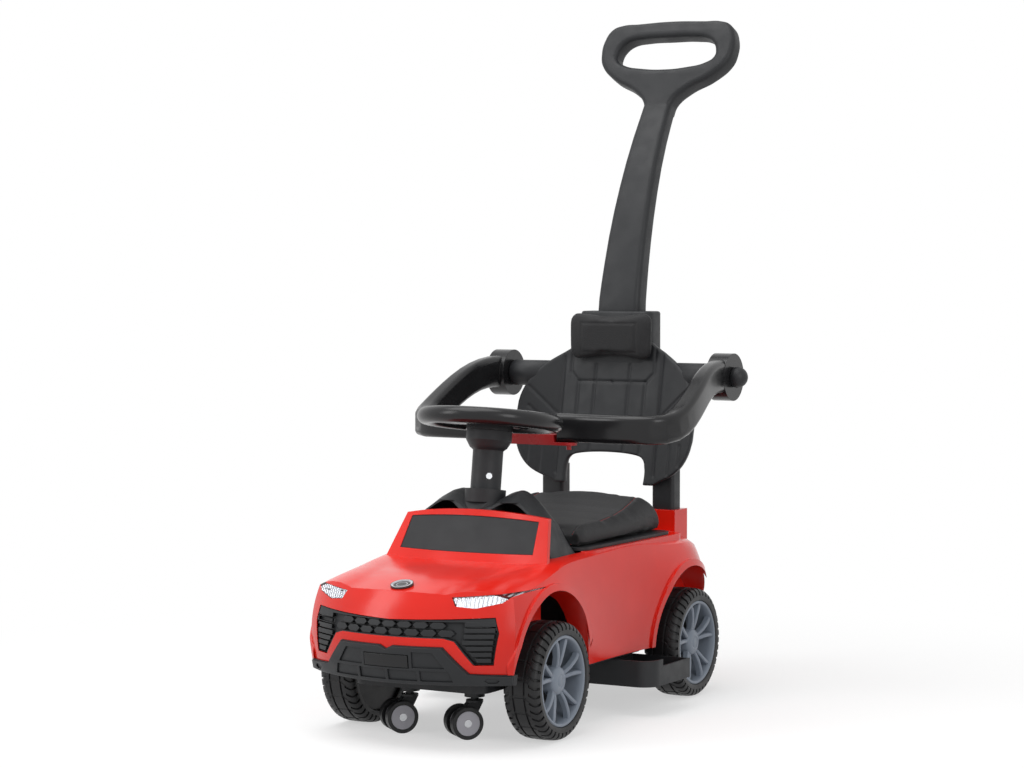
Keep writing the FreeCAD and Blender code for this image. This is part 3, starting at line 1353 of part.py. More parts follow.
def button_bore(gap):
    """The hole that the release button slides in, through the neck into the handle's foot."""
    deep = S.button_depth + S.button_travel + gap
    return rod(S.button_diameter / 2 + gap, vec(0, behind(S.neck_rear - deep), S.button_height),
               vec(0, behind(S.neck_rear + S.cut_overrun), S.button_height))


def make_handle():
    stations = []
    for z_share, y_share, taper in handle_station_shares:
        z = float(S.neck_top) + (grip_root.z - float(S.neck_top)) * z_share
        y = float(handle_foot_y) + (grip_root.y - float(handle_foot_y)) * y_share
        width = S.handle_foot_width + (S.shaft_neck_width - S.handle_foot_width) * taper
        depth = S.handle_foot_depth + (S.shaft_neck_depth - S.handle_foot_depth) * taper
        stations.append((vec(0, y, z), width, depth))
    wires = []
    for index, (centre, width, depth) in enumerate(stations):
        before = stations[max(index - 1, 0)][0]
        after = stations[min(index + 1, len(stations) - 1)][0]
        way = (after - before).normalize() if index else Z_AXIS
        wires.append(rounded_rectangle(centre, X_AXIS, X_AXIS.cross(way) * -1, width, depth, S.grip_edge))
    shaft_form = loft(wires, True)
    foot = handle_foot_form(0).cut(button_bore(S.skin_gap))
    return shaft_form.fuse([make_grip(), foot]).removeSplitter()


# Corner points of the grip's outline and of its opening, right half, as shares of half width and height.
grip_outline_shares = [(0.2, -0.18), (0.21, 0.1), (0.97, 0.5), (1.0, 0.72), (0.8, 0.965)]
grip_opening_shares = [(0.34, 0.36), (0.68, 0.575), (0.68, 0.71)]


def grip_plate(half_shares, crown_share, start, corner):
    """A plate across the grip, from half an outline, with an arched top and eased corners."""
    half, height = float(S.grip_width) / 2, float(S.grip_height)
    front = grip_root + grip_back * start

    def at(u, v):
        return front + X_AXIS * (half * u) + grip_up * (height * v)

    right = [at(u, v) for u, v in half_shares]
    left = [vec(-point.x, point.y, point.z) for point in reversed(right)]
    edges = [line(*pair) for pair in zip(right, right[1:])] + [line(*pair) for pair in zip(left, left[1:])]
    edges += [arc(right[-1], at(0, crown_share), left[0]), line(left[-1], right[0])]
    plate = prism(Part.Wire(Part.__sortEdges__(edges)), grip_back * (-start * 2))
    corners = [edge for edge in plate.Edges if edge_spread(edge, grip_back) > half_grip]
    return plate.makeFillet(float(corner), corners)


def make_grip():
    hole = grip_plate(grip_opening_shares, opening_crown_share, -half_grip * 2, S.grip_edge)
    plate = grip_plate(grip_outline_shares, 1, -half_grip, S.grip_corner).cut(hole)
    rims = [edge for edge in plate.Edges if edge_spread(edge, grip_back) < float(S.running_fit)]
    return plate.makeFillet(float(S.grip_edge), rims)


opening_crown_share = 0.72


def edge_spread(edge, way):
    """How far an edge runs along a direction."""
    ends = [vertex.Point.dot(way) for vertex in edge.Vertexes]
    return max(ends) - min(ends)


solid_feature("push_handle", make_handle())
solid_feature("backrest_front", make_back_front())
solid_feature("backrest_back", make_back_rear())
posts = [post_block(side, 0, S.post_foot, S.post_top) for side in sides.values()]
solid_feature("backrest_posts", Part.makeCompound(posts))


def make_button():
    body = new_body("handle_button")
    end = S.button_depth + S.button_proud
    radius = S.button_diameter / 2
    edge = S.button_proud / 2
    profile = [(0, 0), (radius, 0), (radius, end - edge), (radius - edge, end), (0, end)]
    revolve(body, outlines(body, "XZ_Plane", [profile]), axis="V_Axis")
    place(body, 0, behind(S.neck_rear - S.button_depth), S.button_height, axis=(1, 0, 0), angle=-90)


make_button()


def make_headrest():
    width, height = S.headrest_width, S.headrest_top - S.headrest_bottom
    z = S.headrest_bottom + height / 2
    wires = []
    for depth_share, size_share in headrest_layer_shares:
        y = behind(S.neck_front) - S.skin_gap - S.headrest_depth * depth_share
        drawn = S.headrest_crown * size_share * 2
        wires.append(rounded_rectangle(vec(0, y, z), X_AXIS, Z_AXIS, width - drawn, height - drawn,
                                       S.headrest_corner))
    return loft(wires, True)


headrest_layer_shares = [(0.0, 0.7), (0.14, 0.2), (0.32, 0.0), (0.55, 0.08), (0.75, 0.35), (0.9, 0.8), (1.0, 1.6)]
solid_feature("headrest_pad", make_headrest())

# Guard: two arms that swing on the pivot tubes, joined at the front by a clip.
boss_outer = S.boss_inner + S.boss_thickness
arm_reach = S.guard_reach - S.arm_thickness / 2
arm_depth = S.pivot_setback - S.guard_front
# Each station: place across, along and up the arm, then its height and thickness, as shares.
arm_station_shares = [
    (0.907, 1.0, 1.0, 1.2, 0.85), (0.922, 0.86, 1.03, 1.12, 0.85), (0.948, 0.69, 0.93, 1.05, 0.9),
    (0.98, 0.52, 0.66, 1.0, 0.95), (1.0, 0.35, 0.31, 1.0, 1.0), (0.99, 0.21, 0.08, 0.98, 1.0),
    (0.93, 0.105, 0.0, 0.95, 1.0), (0.82, 0.06, 0.0, 0.95, 1.0), (0.6, 0.053, 0.0, 0.95, 1.0),
]


arm_steps = 20


def make_arm():
    places, sizes = [], []
    for across, along, up, tall, thick in arm_station_shares:
        places.append(vec(arm_reach * across, behind(S.guard_front) + arm_depth * along,
                          S.bar_level + (S.pivot_height - S.bar_level) * up))
        sizes.append((float(S.arm_height * tall), float(S.arm_thickness * thick)))
    places.append(vec(S.arm_gap / 2, places[-1].y, places[-1].z))
    sizes.append(sizes[-1])
    spine = Part.BSplineCurve()
    spine.interpolate(places)
    knots = [spine.parameter(point) for point in places]
    wires = []
    for step in range(arm_steps + 1):
        mark = spine.parameterAtDistance(spine.length() * step / arm_steps)
        index = max(i for i in range(len(knots) - 1) if knots[i] <= mark or i == 0)
        share = (mark - knots[index]) / (knots[index + 1] - knots[index])
        tall, thick = [a + (b - a) * share for a, b in zip(sizes[index], sizes[index + 1])]
        way = FreeCAD.Vector(*spine.tangent(mark)[0])
        across = way.cross(Z_AXIS).normalize()
        wires.append(rounded_rectangle(spine.value(mark), across, across.cross(way), thick, tall, S.arm_edge))
    arm = loft(wires, True)
    start = vec(S.boss_inner, pivot_y, S.pivot_height)
    end = vec(boss_outer, pivot_y, S.pivot_height)
    bore = rod(S.pivot_bolt_diameter / 2 + S.running_fit, vec(0, pivot_y, S.pivot_height),
               vec(S.overall_length, pivot_y, S.pivot_height))
    gap = box(-S.arm_gap / 2, behind(0), 0, S.arm_gap / 2, pivot_y, S.overall_height)
    return arm.fuse(rod(S.boss_diameter / 2, start, end)).cut([bore, gap]).removeSplitter()


arm_left = make_arm()
solid_feature("guard_arm_left", arm_left)
solid_feature("guard_arm_right", mirrored(arm_left))


def make_clip():
    """The red clip: a plate under both bar ends, a rib in the gap between them, and pegs below."""
    tall = S.arm_height * arm_station_shares[-1][3]
    low = S.bar_level - tall / 2 - S.skin_gap
    y = behind(S.guard_front) + arm_depth * arm_station_shares[-1][1]
    half, depth = S.clip_width / 2, S.clip_depth / 2
    plate = prism(rounded_rectangle(vec(0, y, low - S.clip_thickness), X_AXIS, Y_AXIS, S.clip_width, S.clip_depth,
                                    S.clip_depth / 2), vec(0, 0, S.clip_thickness))
    rib_half = S.arm_gap / 2 - S.skin_gap
    rib = box(-rib_half, y - depth, low - S.clip_thickness, rib_half, y + depth, low + S.clip_rib)
    pieces = [rib]
    for side in (1, -1):
        x = side * (half - S.clip_depth / 2)
        pieces.append(rod(S.clip_peg_diameter / 2, vec(x, y, low - S.clip_thickness - S.clip_peg_height),
                          vec(x, y, low - S.clip_thickness / 2)))
    return plate.fuse(pieces).removeSplitter()


solid_feature("guard_clip", make_clip())


def make_knob():
    """A ball-ended knob whose shank is the pivot bolt."""
    shank = S.pivot_bolt_diameter / 2
    ball = S.knob_diameter / 2
    seat = boss_outer + S.skin_gap
    centre = float(S.knob_reach) - float(ball)
    cheek = math.sqrt(float(ball) ** 2 - (centre - float(seat)) ** 2)
    slant = float(ball) * math.sqrt(0.5)
    start = vec(S.pivot_bolt_inner + S.seat_gap, 0, 0)
    tip = vec(S.knob_reach, 0, 0)
    edges = [
        line(start, vec(start.x, shank, 0)), line(vec(start.x, shank, 0), vec(seat, shank, 0)),
        line(vec(seat, shank, 0), vec(seat, cheek, 0)),
        arc(vec(seat, cheek, 0), vec(centre + slant, slant, 0), tip), line(tip, start),
    ]
    return Part.Face(Part.Wire(edges)).revolve(vec(0, 0, 0), X_AXIS, 360)


knobs = []
tubes = []
for side in sides.values():
    knob = make_knob()
    knob.translate(vec(0, pivot_y, S.pivot_height))
    tube = rod(S.pivot_tube_diameter / 2, vec(S.pivot_tube_inner, pivot_y, S.pivot_height),
               vec(S.boss_inner - S.skin_gap, pivot_y, S.pivot_height))
    bolt_seat = rod(S.pivot_bolt_diameter / 2 + S.seat_gap, vec(S.pivot_bolt_inner, pivot_y, S.pivot_height),
                    vec(S.overall_length, pivot_y, S.pivot_height))
    tube = tube.cut(bolt_seat)
    knobs.append(knob if side > 0 else mirrored(knob))
    tubes.append(tube if side > 0 else mirrored(tube))
solid_feature("guard_knobs", Part.makeCompound(knobs))
solid_feature("guard_pivot_tubes", Part.makeCompound(tubes))


# Screws up through the running boards into the pan.
def board_screw(side, y):
    x = side * screw_x
    low = S.board_bottom - S.screw_head_height
    head = rod(S.screw_head_diameter / 2, vec(x, y, low), vec(x, y, S.board_bottom - S.running_fit))
    shank = rod(S.screw_shank_diameter / 2, vec(x, y, low), vec(x, y, pan_floor))
    return head.fuse(shank).removeSplitter()


screws = [board_screw(side, y) for side in sides.values() for y in screw_ys]
solid_feature("chassis_screws", Part.makeCompound(screws))


# Every sub-part is checked, then written under its own name.
doc.recompute()
sub_parts = [item for item in doc.Objects
             if item.TypeId in ("PartDesign::Body", "Part::Feature", "Part::Cylinder")]
for item in doc.Objects:
    if "Invalid" in item.State or "Error" in item.State:
        raise RuntimeError(f"{item.Label} failed: {item.State}")
for item in sub_parts:
    if item.Shape.isNull() or not item.Shape.isValid():
        raise RuntimeError(f"{item.Label} has no valid shape")
os.makedirs("parts", exist_ok=True)
for item in sub_parts:
    item.Shape.exportStep(f"parts/{item.Label}.step")
print(len(sub_parts), "sub-parts written")
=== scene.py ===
import bmesh
import bpy
import math
import numpy
from mathutils import Matrix, Vector
from mathutils.bvhtree import BVHTree


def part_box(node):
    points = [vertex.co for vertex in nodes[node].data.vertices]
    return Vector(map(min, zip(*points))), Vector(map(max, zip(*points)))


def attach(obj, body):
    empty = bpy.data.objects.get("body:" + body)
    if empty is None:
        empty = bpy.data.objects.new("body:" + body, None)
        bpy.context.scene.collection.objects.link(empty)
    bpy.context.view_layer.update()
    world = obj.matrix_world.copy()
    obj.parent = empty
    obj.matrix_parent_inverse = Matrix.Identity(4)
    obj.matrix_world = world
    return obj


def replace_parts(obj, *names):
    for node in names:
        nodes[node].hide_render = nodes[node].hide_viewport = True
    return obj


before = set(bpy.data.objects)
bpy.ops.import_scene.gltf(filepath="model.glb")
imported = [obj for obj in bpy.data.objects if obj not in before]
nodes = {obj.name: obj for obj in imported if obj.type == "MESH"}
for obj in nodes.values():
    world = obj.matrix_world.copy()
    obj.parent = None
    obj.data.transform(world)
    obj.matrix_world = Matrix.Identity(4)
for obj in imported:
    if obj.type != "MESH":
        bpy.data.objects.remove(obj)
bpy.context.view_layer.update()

# Chassis pan
# A black polypropylene tray under the whole car, injection moulded with a fine spark-eroded grain.
# Axle saddles, caster sockets and the two foot trays are screwed to it from below.
def blank(name):
    """A new material, with its node tree, its surface shader and the piece's own coordinates."""
    finish = bpy.data.materials.new(name)
    finish.use_nodes = True
    tree = finish.node_tree
    place = tree.nodes.new("ShaderNodeTexCoord").outputs["Object"]
    return finish, tree, tree.nodes["Principled BSDF"], place


def plug(socket, given):
    """Sets a shader socket to a value, or links another node's output to it."""
    if isinstance(given, bpy.types.NodeSocket):
        socket.id_data.links.new(given, socket)
    else:
        socket.default_value = given


def feed(node, **sockets):
    """Plugs the named sockets of a shader node."""
    for name, given in sockets.items():
        plug(node.inputs[name.replace("_", " ")], given)
    return node


def shader(tree, kind, **sockets):
    """Adds a shader node and feeds it."""
    return feed(tree.nodes.new("ShaderNode" + kind), **sockets)


def clouded(tree, share, colour, dark, light, start=0, end=1):
    """A colour that runs from a darker to a lighter shade of itself."""
    ramp = shader(tree, "ValToRGB", Fac=share)
    for element, position, factor in zip(ramp.color_ramp.elements, (start, end), (dark, light)):
        element.position = position
        element.color = [min(channel * factor, 1) for channel in colour] + [1]
    return ramp.outputs["Color"]


def moulded(name, colour, rough, grain, depth):
    """Moulded plastic: colour clouded by the melt's flow, gloss uneven from handling, grain from the tool."""
    finish, tree, skin, place = blank(name)
    flow = shader(tree, "TexNoise", Vector=place, Scale=9, Detail=4)
    rub = shader(tree, "TexNoise", Vector=place, Scale=45, Detail=5)
    gloss = shader(tree, "MapRange", Value=rub.outputs["Fac"], From_Min=0.3, From_Max=0.7,
                   To_Min=rough * 0.85, To_Max=rough * 1.15)
    edge = shader(tree, "Bevel", Radius=0.0008)
    edge.samples = 4
    tool_grain = shader(tree, "TexNoise", Vector=place, Scale=grain, Detail=2)
    relief = shader(tree, "Bump", Strength=0.6, Distance=depth, Height=tool_grain.outputs["Fac"],
                    Normal=edge.outputs["Normal"])
    feed(skin, Base_Color=clouded(tree, flow.outputs["Fac"], colour, dark=0.92, light=1.06, start=0.3, end=0.7),
         Roughness=gloss.outputs["Result"], Normal=relief.outputs["Normal"], Specular_IOR_Level=0.34)
    return finish


smoothing = bpy.data.node_groups.new("smooth_but_for_creases", "GeometryNodeTree")
smoothing.interface.new_socket("Geometry", in_out="INPUT", socket_type="NodeSocketGeometry")
smoothing.interface.new_socket("Geometry", in_out="OUTPUT", socket_type="NodeSocketGeometry")
given = smoothing.nodes.new("NodeGroupInput")
welded = smoothing.nodes.new("GeometryNodeMergeByDistance")
welded.inputs["Distance"].default_value = 0.00002
rounded = smoothing.nodes.new("GeometryNodeSetShadeSmooth")
bend = smoothing.nodes.new("GeometryNodeInputMeshEdgeAngle")
sharp = smoothing.nodes.new("FunctionNodeCompare")
sharp.operation = "GREATER_THAN"
sharp.inputs[1].default_value = math.radians(29)
creased = smoothing.nodes.new("GeometryNodeSetShadeSmooth")
creased.domain = "EDGE"
creased.inputs["Shade Smooth"].default_value = False
done = smoothing.nodes.new("NodeGroupOutput")
smoothing.links.new(given.outputs[0], welded.inputs["Geometry"])
smoothing.links.new(welded.outputs["Geometry"], rounded.inputs["Geometry"])
smoothing.links.new(rounded.outputs["Geometry"], creased.inputs["Geometry"])
smoothing.links.new(bend.outputs["Unsigned Angle"], sharp.inputs[0])
smoothing.links.new(sharp.outputs["Result"], creased.inputs["Selection"])
smoothing.links.new(creased.outputs["Geometry"], done.inputs[0])


def dress(finish, *names):
    """Gives CAD nodes their finish, and a smooth skin but for their creases."""
    for name in names:
        for slot in nodes[name].material_slots:
            slot.material = finish
        nodes[name].modifiers.new("smooth_skin", "NODES").node_group = smoothing


matt_black = moulded("matt_black_plastic", (0.016, 0.017, 0.019), rough=0.5, grain=1400, depth=0.00015)
dress(matt_black, "chassis_pan", "axle_saddles", "caster_sockets")

# Axles, push nuts and screws
# Drawn steel rods that lie across the pan, with pressed push nuts on their ends.
# The screws, bolts and pins that hold the car together have the same zinc plating.
def bright_steel(name, colour, rough):
    """Plated steel with drawn streaks and a slightly uneven shine."""
    finish, tree, skin, place = blank(name)
    streak = shader(tree, "TexNoise", Vector=place, Scale=260, Detail=4).outputs["Fac"]
    gloss = shader(tree, "MapRange", Value=streak, To_Min=rough * 0.7, To_Max=rough * 1.3)
    feed(skin, Metallic=1, Base_Color=clouded(tree, streak, colour, dark=0.75, light=1),
         Roughness=gloss.outputs["Result"])
    return finish


zinc = bright_steel("zinc_plated_steel", (0.55, 0.56, 0.58), rough=0.3)
dress(zinc, "front_axle", "rear_axle", "axle_push_nuts", "chassis_screws", "caster_bolt_left",
      "caster_bolt_right", "column_screw", "steering_shaft", "shaft_retainer", "seat_hinge_pin")

# Road wheels
# Blow-moulded black tyres with slanted tread lugs either side of a centre rib, spun from their section.
# They are pressed on grey rims with ten spokes in five pairs, each closed by a hub cap.
def new_piece(form, name, finish, body, crease):
    """Puts a finished mesh in the scene, smooth but for its creases, riding on a body."""
    mesh = bpy.data.meshes.new(name)
    bmesh.ops.recalc_face_normals(form, faces=form.faces)
    form.to_mesh(mesh)
    form.free()
    mesh.materials.append(finish)
    mesh.polygons.foreach_set("use_smooth", [True] * len(mesh.polygons))
    mesh.set_sharp_from_angle(angle=math.radians(crease))
    piece = bpy.data.objects.new(name, mesh)
    bpy.context.scene.collection.objects.link(piece)
    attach(piece, body)
    return piece


def lathe(form, spots, centre, steps, closed=True):
    """Spins an outline about an axis across the car."""
    ring = [form.verts.new(spot) for spot in spots]
    pairs = list(zip(ring, ring[1:] + ring[:1]))
    edges = [form.edges.new(pair) for pair in (pairs if closed else pairs[:-1])]
    bmesh.ops.spin(form, geom=ring + edges, cent=centre, axis=(1, 0, 0), angle=math.tau, steps=steps,
                   use_merge=True)


def skin_rows(form, rows):
    """Covers a row of equal loops with faces and closes both ends."""
    loops = [[form.verts.new(Vector(spot) / 1000) for spot in row] for row in rows]
    for one, two in zip(loops, loops[1:]):
        for index in range(len(one)):
            after = (index + 1) % len(one)
            form.faces.new((one[index], one[after], two[after], two[index]))
    form.faces.new(loops[0])
    form.faces.new(loops[-1])


def middle_of(node):
    """The middle of a CAD node's box."""
    low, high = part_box(node)
    return (Vector(low) + Vector(high)) / 2


corners = [end + side for end in ("front_", "rear_") for side in ("left", "right")]
tyre_black = moulded("tyre_black_plastic", (0.012, 0.012, 0.013), rough=0.42, grain=900, depth=0.0002)
rim_grey = moulded("rim_grey_plastic", (0.235, 0.27, 0.325), rough=0.36, grain=1600, depth=0.00006)
section = [
    (0, 75), (6.4, 75), (6.8, 73), (8.8, 73), (9.2, 74.9), (13.5, 74.7), (17.5, 74.2), (20.5, 73.2),
    (22.8, 71.4), (24.2, 69), (24.8, 66.9), (24.5, 66.3), (24.5, 65.5), (25, 64.9), (25, 60.2), (24.5, 58.8),
    (23.4, 58),
]
section += [(-across, radius) for across, radius in reversed(section[1:])]
web_section = [(18.4, 13.4), (18.4, 57.9), (20.4, 57.9), (21.4, 34), (20.4, 13.4)]
pitches, slant = 42, math.radians(6)
steps = pitches * 3
shoulder, wall, lug_from, sipe_from = 0.0135, 0.0249, 0.0645, 0.0735
rib_half, slant_over = 0.0068, 0.014
for corner in corners:
    centre = middle_of("tyre_" + corner)
    tyre = bmesh.new()
    lathe(tyre, [(across / 1000, 0, radius / 1000) for across, radius in section], (0, 0, 0), steps)
    bmesh.ops.recalc_face_normals(tyre, faces=tyre.faces)
    lugs, sipes = [], []
    for face in tyre.faces:
        spot = face.calc_center_median()
        step = int((math.atan2(spot.y, spot.z) % math.tau) / math.tau * steps)
        out, reach = abs(spot.x), math.hypot(spot.y, spot.z)
        if shoulder < out < wall and reach > lug_from and step % 3 == 0:
            lugs.append(face)
        elif out < shoulder and reach > sipe_from and step % 6 == 1:
            sipes.append(face)
    bmesh.ops.inset_region(tyre, faces=lugs, thickness=0.0003, depth=-0.0022, use_even_offset=True)
    bmesh.ops.inset_region(tyre, faces=sipes, thickness=0.0004, depth=-0.0007, use_even_offset=True)
    for vert in tyre.verts:
        lean = slant * min(max(abs(vert.co.x) - rib_half, 0) / slant_over, 1)
        vert.co.rotate(Matrix.Rotation(lean, 3, "X"))
        vert.co += centre
    inward = -math.copysign(1, centre.x)
    web = [centre + Vector((inward * across / 1000, 0, radius / 1000)) for across, radius in web_section]
    lathe(tyre, web, centre, steps=72)
    tread = new_piece(tyre, "tread_tyre_" + corner, tyre_black, "wheel_" + corner, crease=28)
    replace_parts(tread, "tyre_" + corner)

barrel = [
    (-18, 57.9), (22.4, 57.9), (23.6, 57.2), (24, 56.2), (23.8, 54.6), (22.6, 53.4), (14, 52.6), (-18, 52.6),
]
hub = [
    (19.7, 0), (19.6, 6.6), (19.1, 7.2), (19.1, 8.4), (19.6, 9), (19.2, 12.5), (17.6, 16.4), (14, 18.4),
    (3, 19), (3, 13), (-19, 13), (-19, 4.4), (9.8, 4.4), (9.8, 10.8), (14.4, 10.8), (14.4, 0),
]
# Each point of a spoke's line: distance from the axle, place across the wheel, degrees from its pair's middle.
spoke_line = [
    (15, 15.5, 8.5), (22, 18.2, 8.6), (31, 20.2, 9.4), (41, 21.4, 11), (48, 21.9, 12.6), (55, 21.2, 14.4),
]
spoke_section = [(-3.1, -8), (3.1, -8), (2.7, -1.4), (1.3, 0), (-1.3, 0), (-2.7, -1.4)]
spokes, pair_apart = 10, 72
for corner in corners:
    centre = middle_of("tyre_" + corner)
    out = math.copysign(1, centre.x)
    rim = bmesh.new()
    for outline, closed in ((barrel, True), (hub, False)):
        spots = [(out * across / 1000, 0, radius / 1000) for across, radius in outline]
        lathe(rim, spots, (0, 0, 0), steps=80, closed=closed)
    for spoke in range(spokes):
        lean = 1 if spoke % 2 else -1
        rows = []
        for radius, across, angle in spoke_line:
            turn = math.radians(spoke // 2 * pair_apart + lean * angle)
            ray = Vector((0, math.sin(turn), math.cos(turn)))
            side = Vector((0, math.cos(turn), -math.sin(turn)))
            spine = ray * radius + Vector((out * across, 0, 0))
            rows.append([spine + side * wide + Vector((out * deep, 0, 0)) for wide, deep in spoke_section])
        skin_rows(rim, rows)
    bmesh.ops.remove_doubles(rim, verts=rim.verts, dist=0.00001)
    bmesh.ops.translate(rim, verts=rim.verts, vec=centre)
    wheel = new_piece(rim, "spoked_rim_" + corner, rim_grey, "wheel_" + corner, crease=40)
    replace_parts(wheel, "rim_" + corner, "hub_cap_" + corner)

# Casters
# Twin-wheel casters under the nose: moulded black forks, whose stems turn in the pan's sockets.
# Hard grey wheel discs with thin black tyres run on one steel bolt in each fork.
disc_grey = moulded("caster_disc_plastic", (0.56, 0.55, 0.6), rough=0.38, grain=1500, depth=0.00005)
for side in ("left", "right"):
    dress(matt_black, "caster_fork_" + side)
    dress(tyre_black, "caster_tyres_" + side)
    dress(disc_grey, "caster_discs_" + side)

# Running boards
# Black foot trays, one on each side, injection moulded with a raised rounded front.
# They are screwed under the pan.
dress(matt_black, "running_board_left", "running_board_right")

# Body shell
# Bonnet, wings, doors and windscreen frame in one moulding of glossy red polypropylene.
# It is snapped over the pan.
shell_red = moulded("shell_red_plastic", (0.78, 0.016, 0.007), rough=0.2, grain=700, depth=0.00002)
dress(shell_red, "body_shell")

# Nose trims
# Honeycomb grille with slotted intakes, bumper and glossy plate, moulded in black and clipped into the shell's
# nose. Grille and bumper are flat plates with their pockets cut out, bent to the faces that the solids have.
def cut_plate(outlines, half, edge, shrink=0):
    """A flat plate with rounded edges: closed curves through points, the later ones its holes."""
    curve = bpy.data.curves.new("plate_outline", "CURVE")
    curve.dimensions, curve.fill_mode, curve.resolution_u = "2D", "BOTH", 10
    curve.extrude, curve.bevel_depth, curve.bevel_resolution = half - edge, edge, 4
    curve.offset = -edge - shrink
    for outline in outlines:
        spline = curve.splines.new("BEZIER")
        spline.bezier_points.add(len(outline) - 1)
        spline.use_cyclic_u = True
        for knot, (across, up, corner) in zip(spline.bezier_points, outline):
            knot.co = (across / 1000, up / 1000, 0)
            knot.handle_left_type = knot.handle_right_type = "VECTOR" if corner else "AUTO"
    holder = bpy.data.objects.new("plate_outline", curve)
    bpy.context.scene.collection.objects.link(holder)
    bpy.context.view_layer.update()
    flat = bpy.data.meshes.new_from_object(holder.evaluated_get(bpy.context.evaluated_depsgraph_get()))
    bpy.data.objects.remove(holder)
    return flat


def both_halves(points):
    """A closed outline from its right half, given in order from the middle round to the middle."""
    return points + [(-across, up, corner) for across, up, corner in reversed(points) if across > 0]


def nose_face(node):
    """The forward face of a nose piece, as a smooth height over its front view."""
    spots = [vert.co for vert in nodes[node].data.vertices if vert.normal.y < -0.6]
    terms = [[1, spot.x ** 2, spot.x ** 4, spot.z, spot.z ** 2, spot.x ** 2 * spot.z] for spot in spots]
    shape = numpy.linalg.lstsq(numpy.array(terms), numpy.array([spot.y for spot in spots]), rcond=None)[0]
    return lambda x, z: float(numpy.dot(shape, [1, x ** 2, x ** 4, z, z ** 2, x ** 2 * z]))


def bent_plate(outlines, half, edge, face, ahead):
    """A plate with cut-outs, laid over a nose piece's face."""
    form = bmesh.new()
    form.from_mesh(cut_plate(outlines, half, edge))
    nose_half, strip = 152, 8
    for across in range(-nose_half, nose_half + 1, strip):
        every = form.verts[:] + form.edges[:] + form.faces[:]
        bmesh.ops.bisect_plane(form, geom=every, plane_co=(across / 1000, 0, 0), plane_no=(1, 0, 0))
    bmesh.ops.remove_doubles(form, verts=form.verts, dist=0.00002)
    for vert in form.verts:
        x, z, depth = vert.co
        vert.co = (x, face(x, z) - ahead - depth, z)
    return form


def cell(x, z, width, height):
    """A stretched hexagon."""
    shape = ((1, 0), (0.6, 1), (-0.6, 1), (-1, 0), (-0.6, -1), (0.6, -1))
    return [(x + width / 2 * u, z + height / 2 * v, True) for u, v in shape]


def square_hole(x0, x1, z0, z1, lean=0):
    """Four corners of a cut-out, whose inner side may lean."""
    return [(x0, z0, True), (x1, z0, True), (x1, z1, True), (x0 - lean, z1, True)]


def other_side(outline):
    """The same cut-out on the car's other side."""
    return [(-across, up, corner) for across, up, corner in reversed(outline)]


grille_outline = both_halves([
    (0, 142, True), (72.6, 142, True), (85.8, 138.4, True), (107, 109.6, True), (126.8, 109.6, True),
    (132, 147.8, True), (127, 166, True), (76, 163.7, True), (0, 161.2, True),
])
cell_pitch, cell_width = 21.6, 19
grille_cells = [cell(cell_pitch * column, 156.4, cell_width, 6.8) for column in range(-3, 4)]
grille_cells += [cell(cell_pitch * (column + 0.5), 147.2, cell_width, 7.4) for column in range(-4, 4)]
# Each intake's inner end follows the outline's slant up to where that ends; the upper ones start further out.
intakes, intake_low, intake_pitch, intake_height, intake_lean = 7, 112.4, 7.3, 4.6, 2.6
slant_x, slant_z, slant_rate, slant_end, border = 107.5, 109.6, 0.735, 86, 5
outer_x, outer_rate, lean_below, border_doubles = 124.6, 0.1, 132, 140
for row in range(intakes):
    low = intake_low + row * intake_pitch
    inner = max(slant_x - (low - slant_z) * slant_rate, slant_end) + border * (2 if low > border_doubles else 1)
    outer = outer_x + (low - intake_low) * outer_rate
    intake = square_hole(inner, outer, low, low + intake_height, intake_lean if low < lean_below else 0)
    grille_cells += [intake, other_side(intake)]
grille_face = nose_face("upper_grille")
grille = bent_plate([grille_outline] + grille_cells, half=0.002, edge=0.0005, face=grille_face, ahead=0.0012)
bed = bent_plate([grille_outline], half=0.0004, edge=0.0001, face=grille_face, ahead=-0.0022)
bed_mesh = bpy.data.meshes.new("grille_bed")
bed.to_mesh(bed_mesh)
bed.free()
grille.from_mesh(bed_mesh)
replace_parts(new_piece(grille, "honeycomb_grille", matt_black, "car", crease=30), "upper_grille")

bumper_outline = both_halves([
    (0, 84, True), (146, 84, True), (146, 94.4, True), (101.4, 97.8, True), (72.6, 129.8, True),
    (9.4, 129.8, True), (0, 125.6, True),
])
bumper_bays = []
for bay in (
    square_hole(2, 41, 88, 101),
    [(45, 88, True), (84, 88, True), (80, 101, True), (45, 101, True)],
    [(36, 104.6, True), (76, 104.6, True), (62, 124, True), (36, 124, True)],
    cell(126, 89.6, 15, 6),
):
    bumper_bays += [bay, other_side(bay)]
bumper_bays.append(square_hole(-32, 32, 103.6, 120.4))
bumper = bent_plate([bumper_outline] + bumper_bays, half=0.0013, edge=0.0006, face=nose_face("front_bumper"),
                    ahead=0.0011)
new_piece(bumper, "bumper_ribs", matt_black, "car", crease=30)
dress(matt_black, "front_bumper")
plate_black = moulded("plate_gloss_black", (0.01, 0.01, 0.011), rough=0.2, grain=900, depth=0.00002)
dress(plate_black, "number_plate")

# Headlights
# Bright metallised reflectors in the shell's nose, with upright flutes and dark diodes in their upper part.
# Clear moulded lenses with a faint haze are snapped over them.
def reckon(tree, operation, *terms, kind="Math"):
    """Adds a shader node that works out one value from others."""
    node = tree.nodes.new("ShaderNode" + kind)
    node.operation = operation
    for socket, term in zip(node.inputs, terms):
        plug(socket, term)
    return node.outputs["Value"]


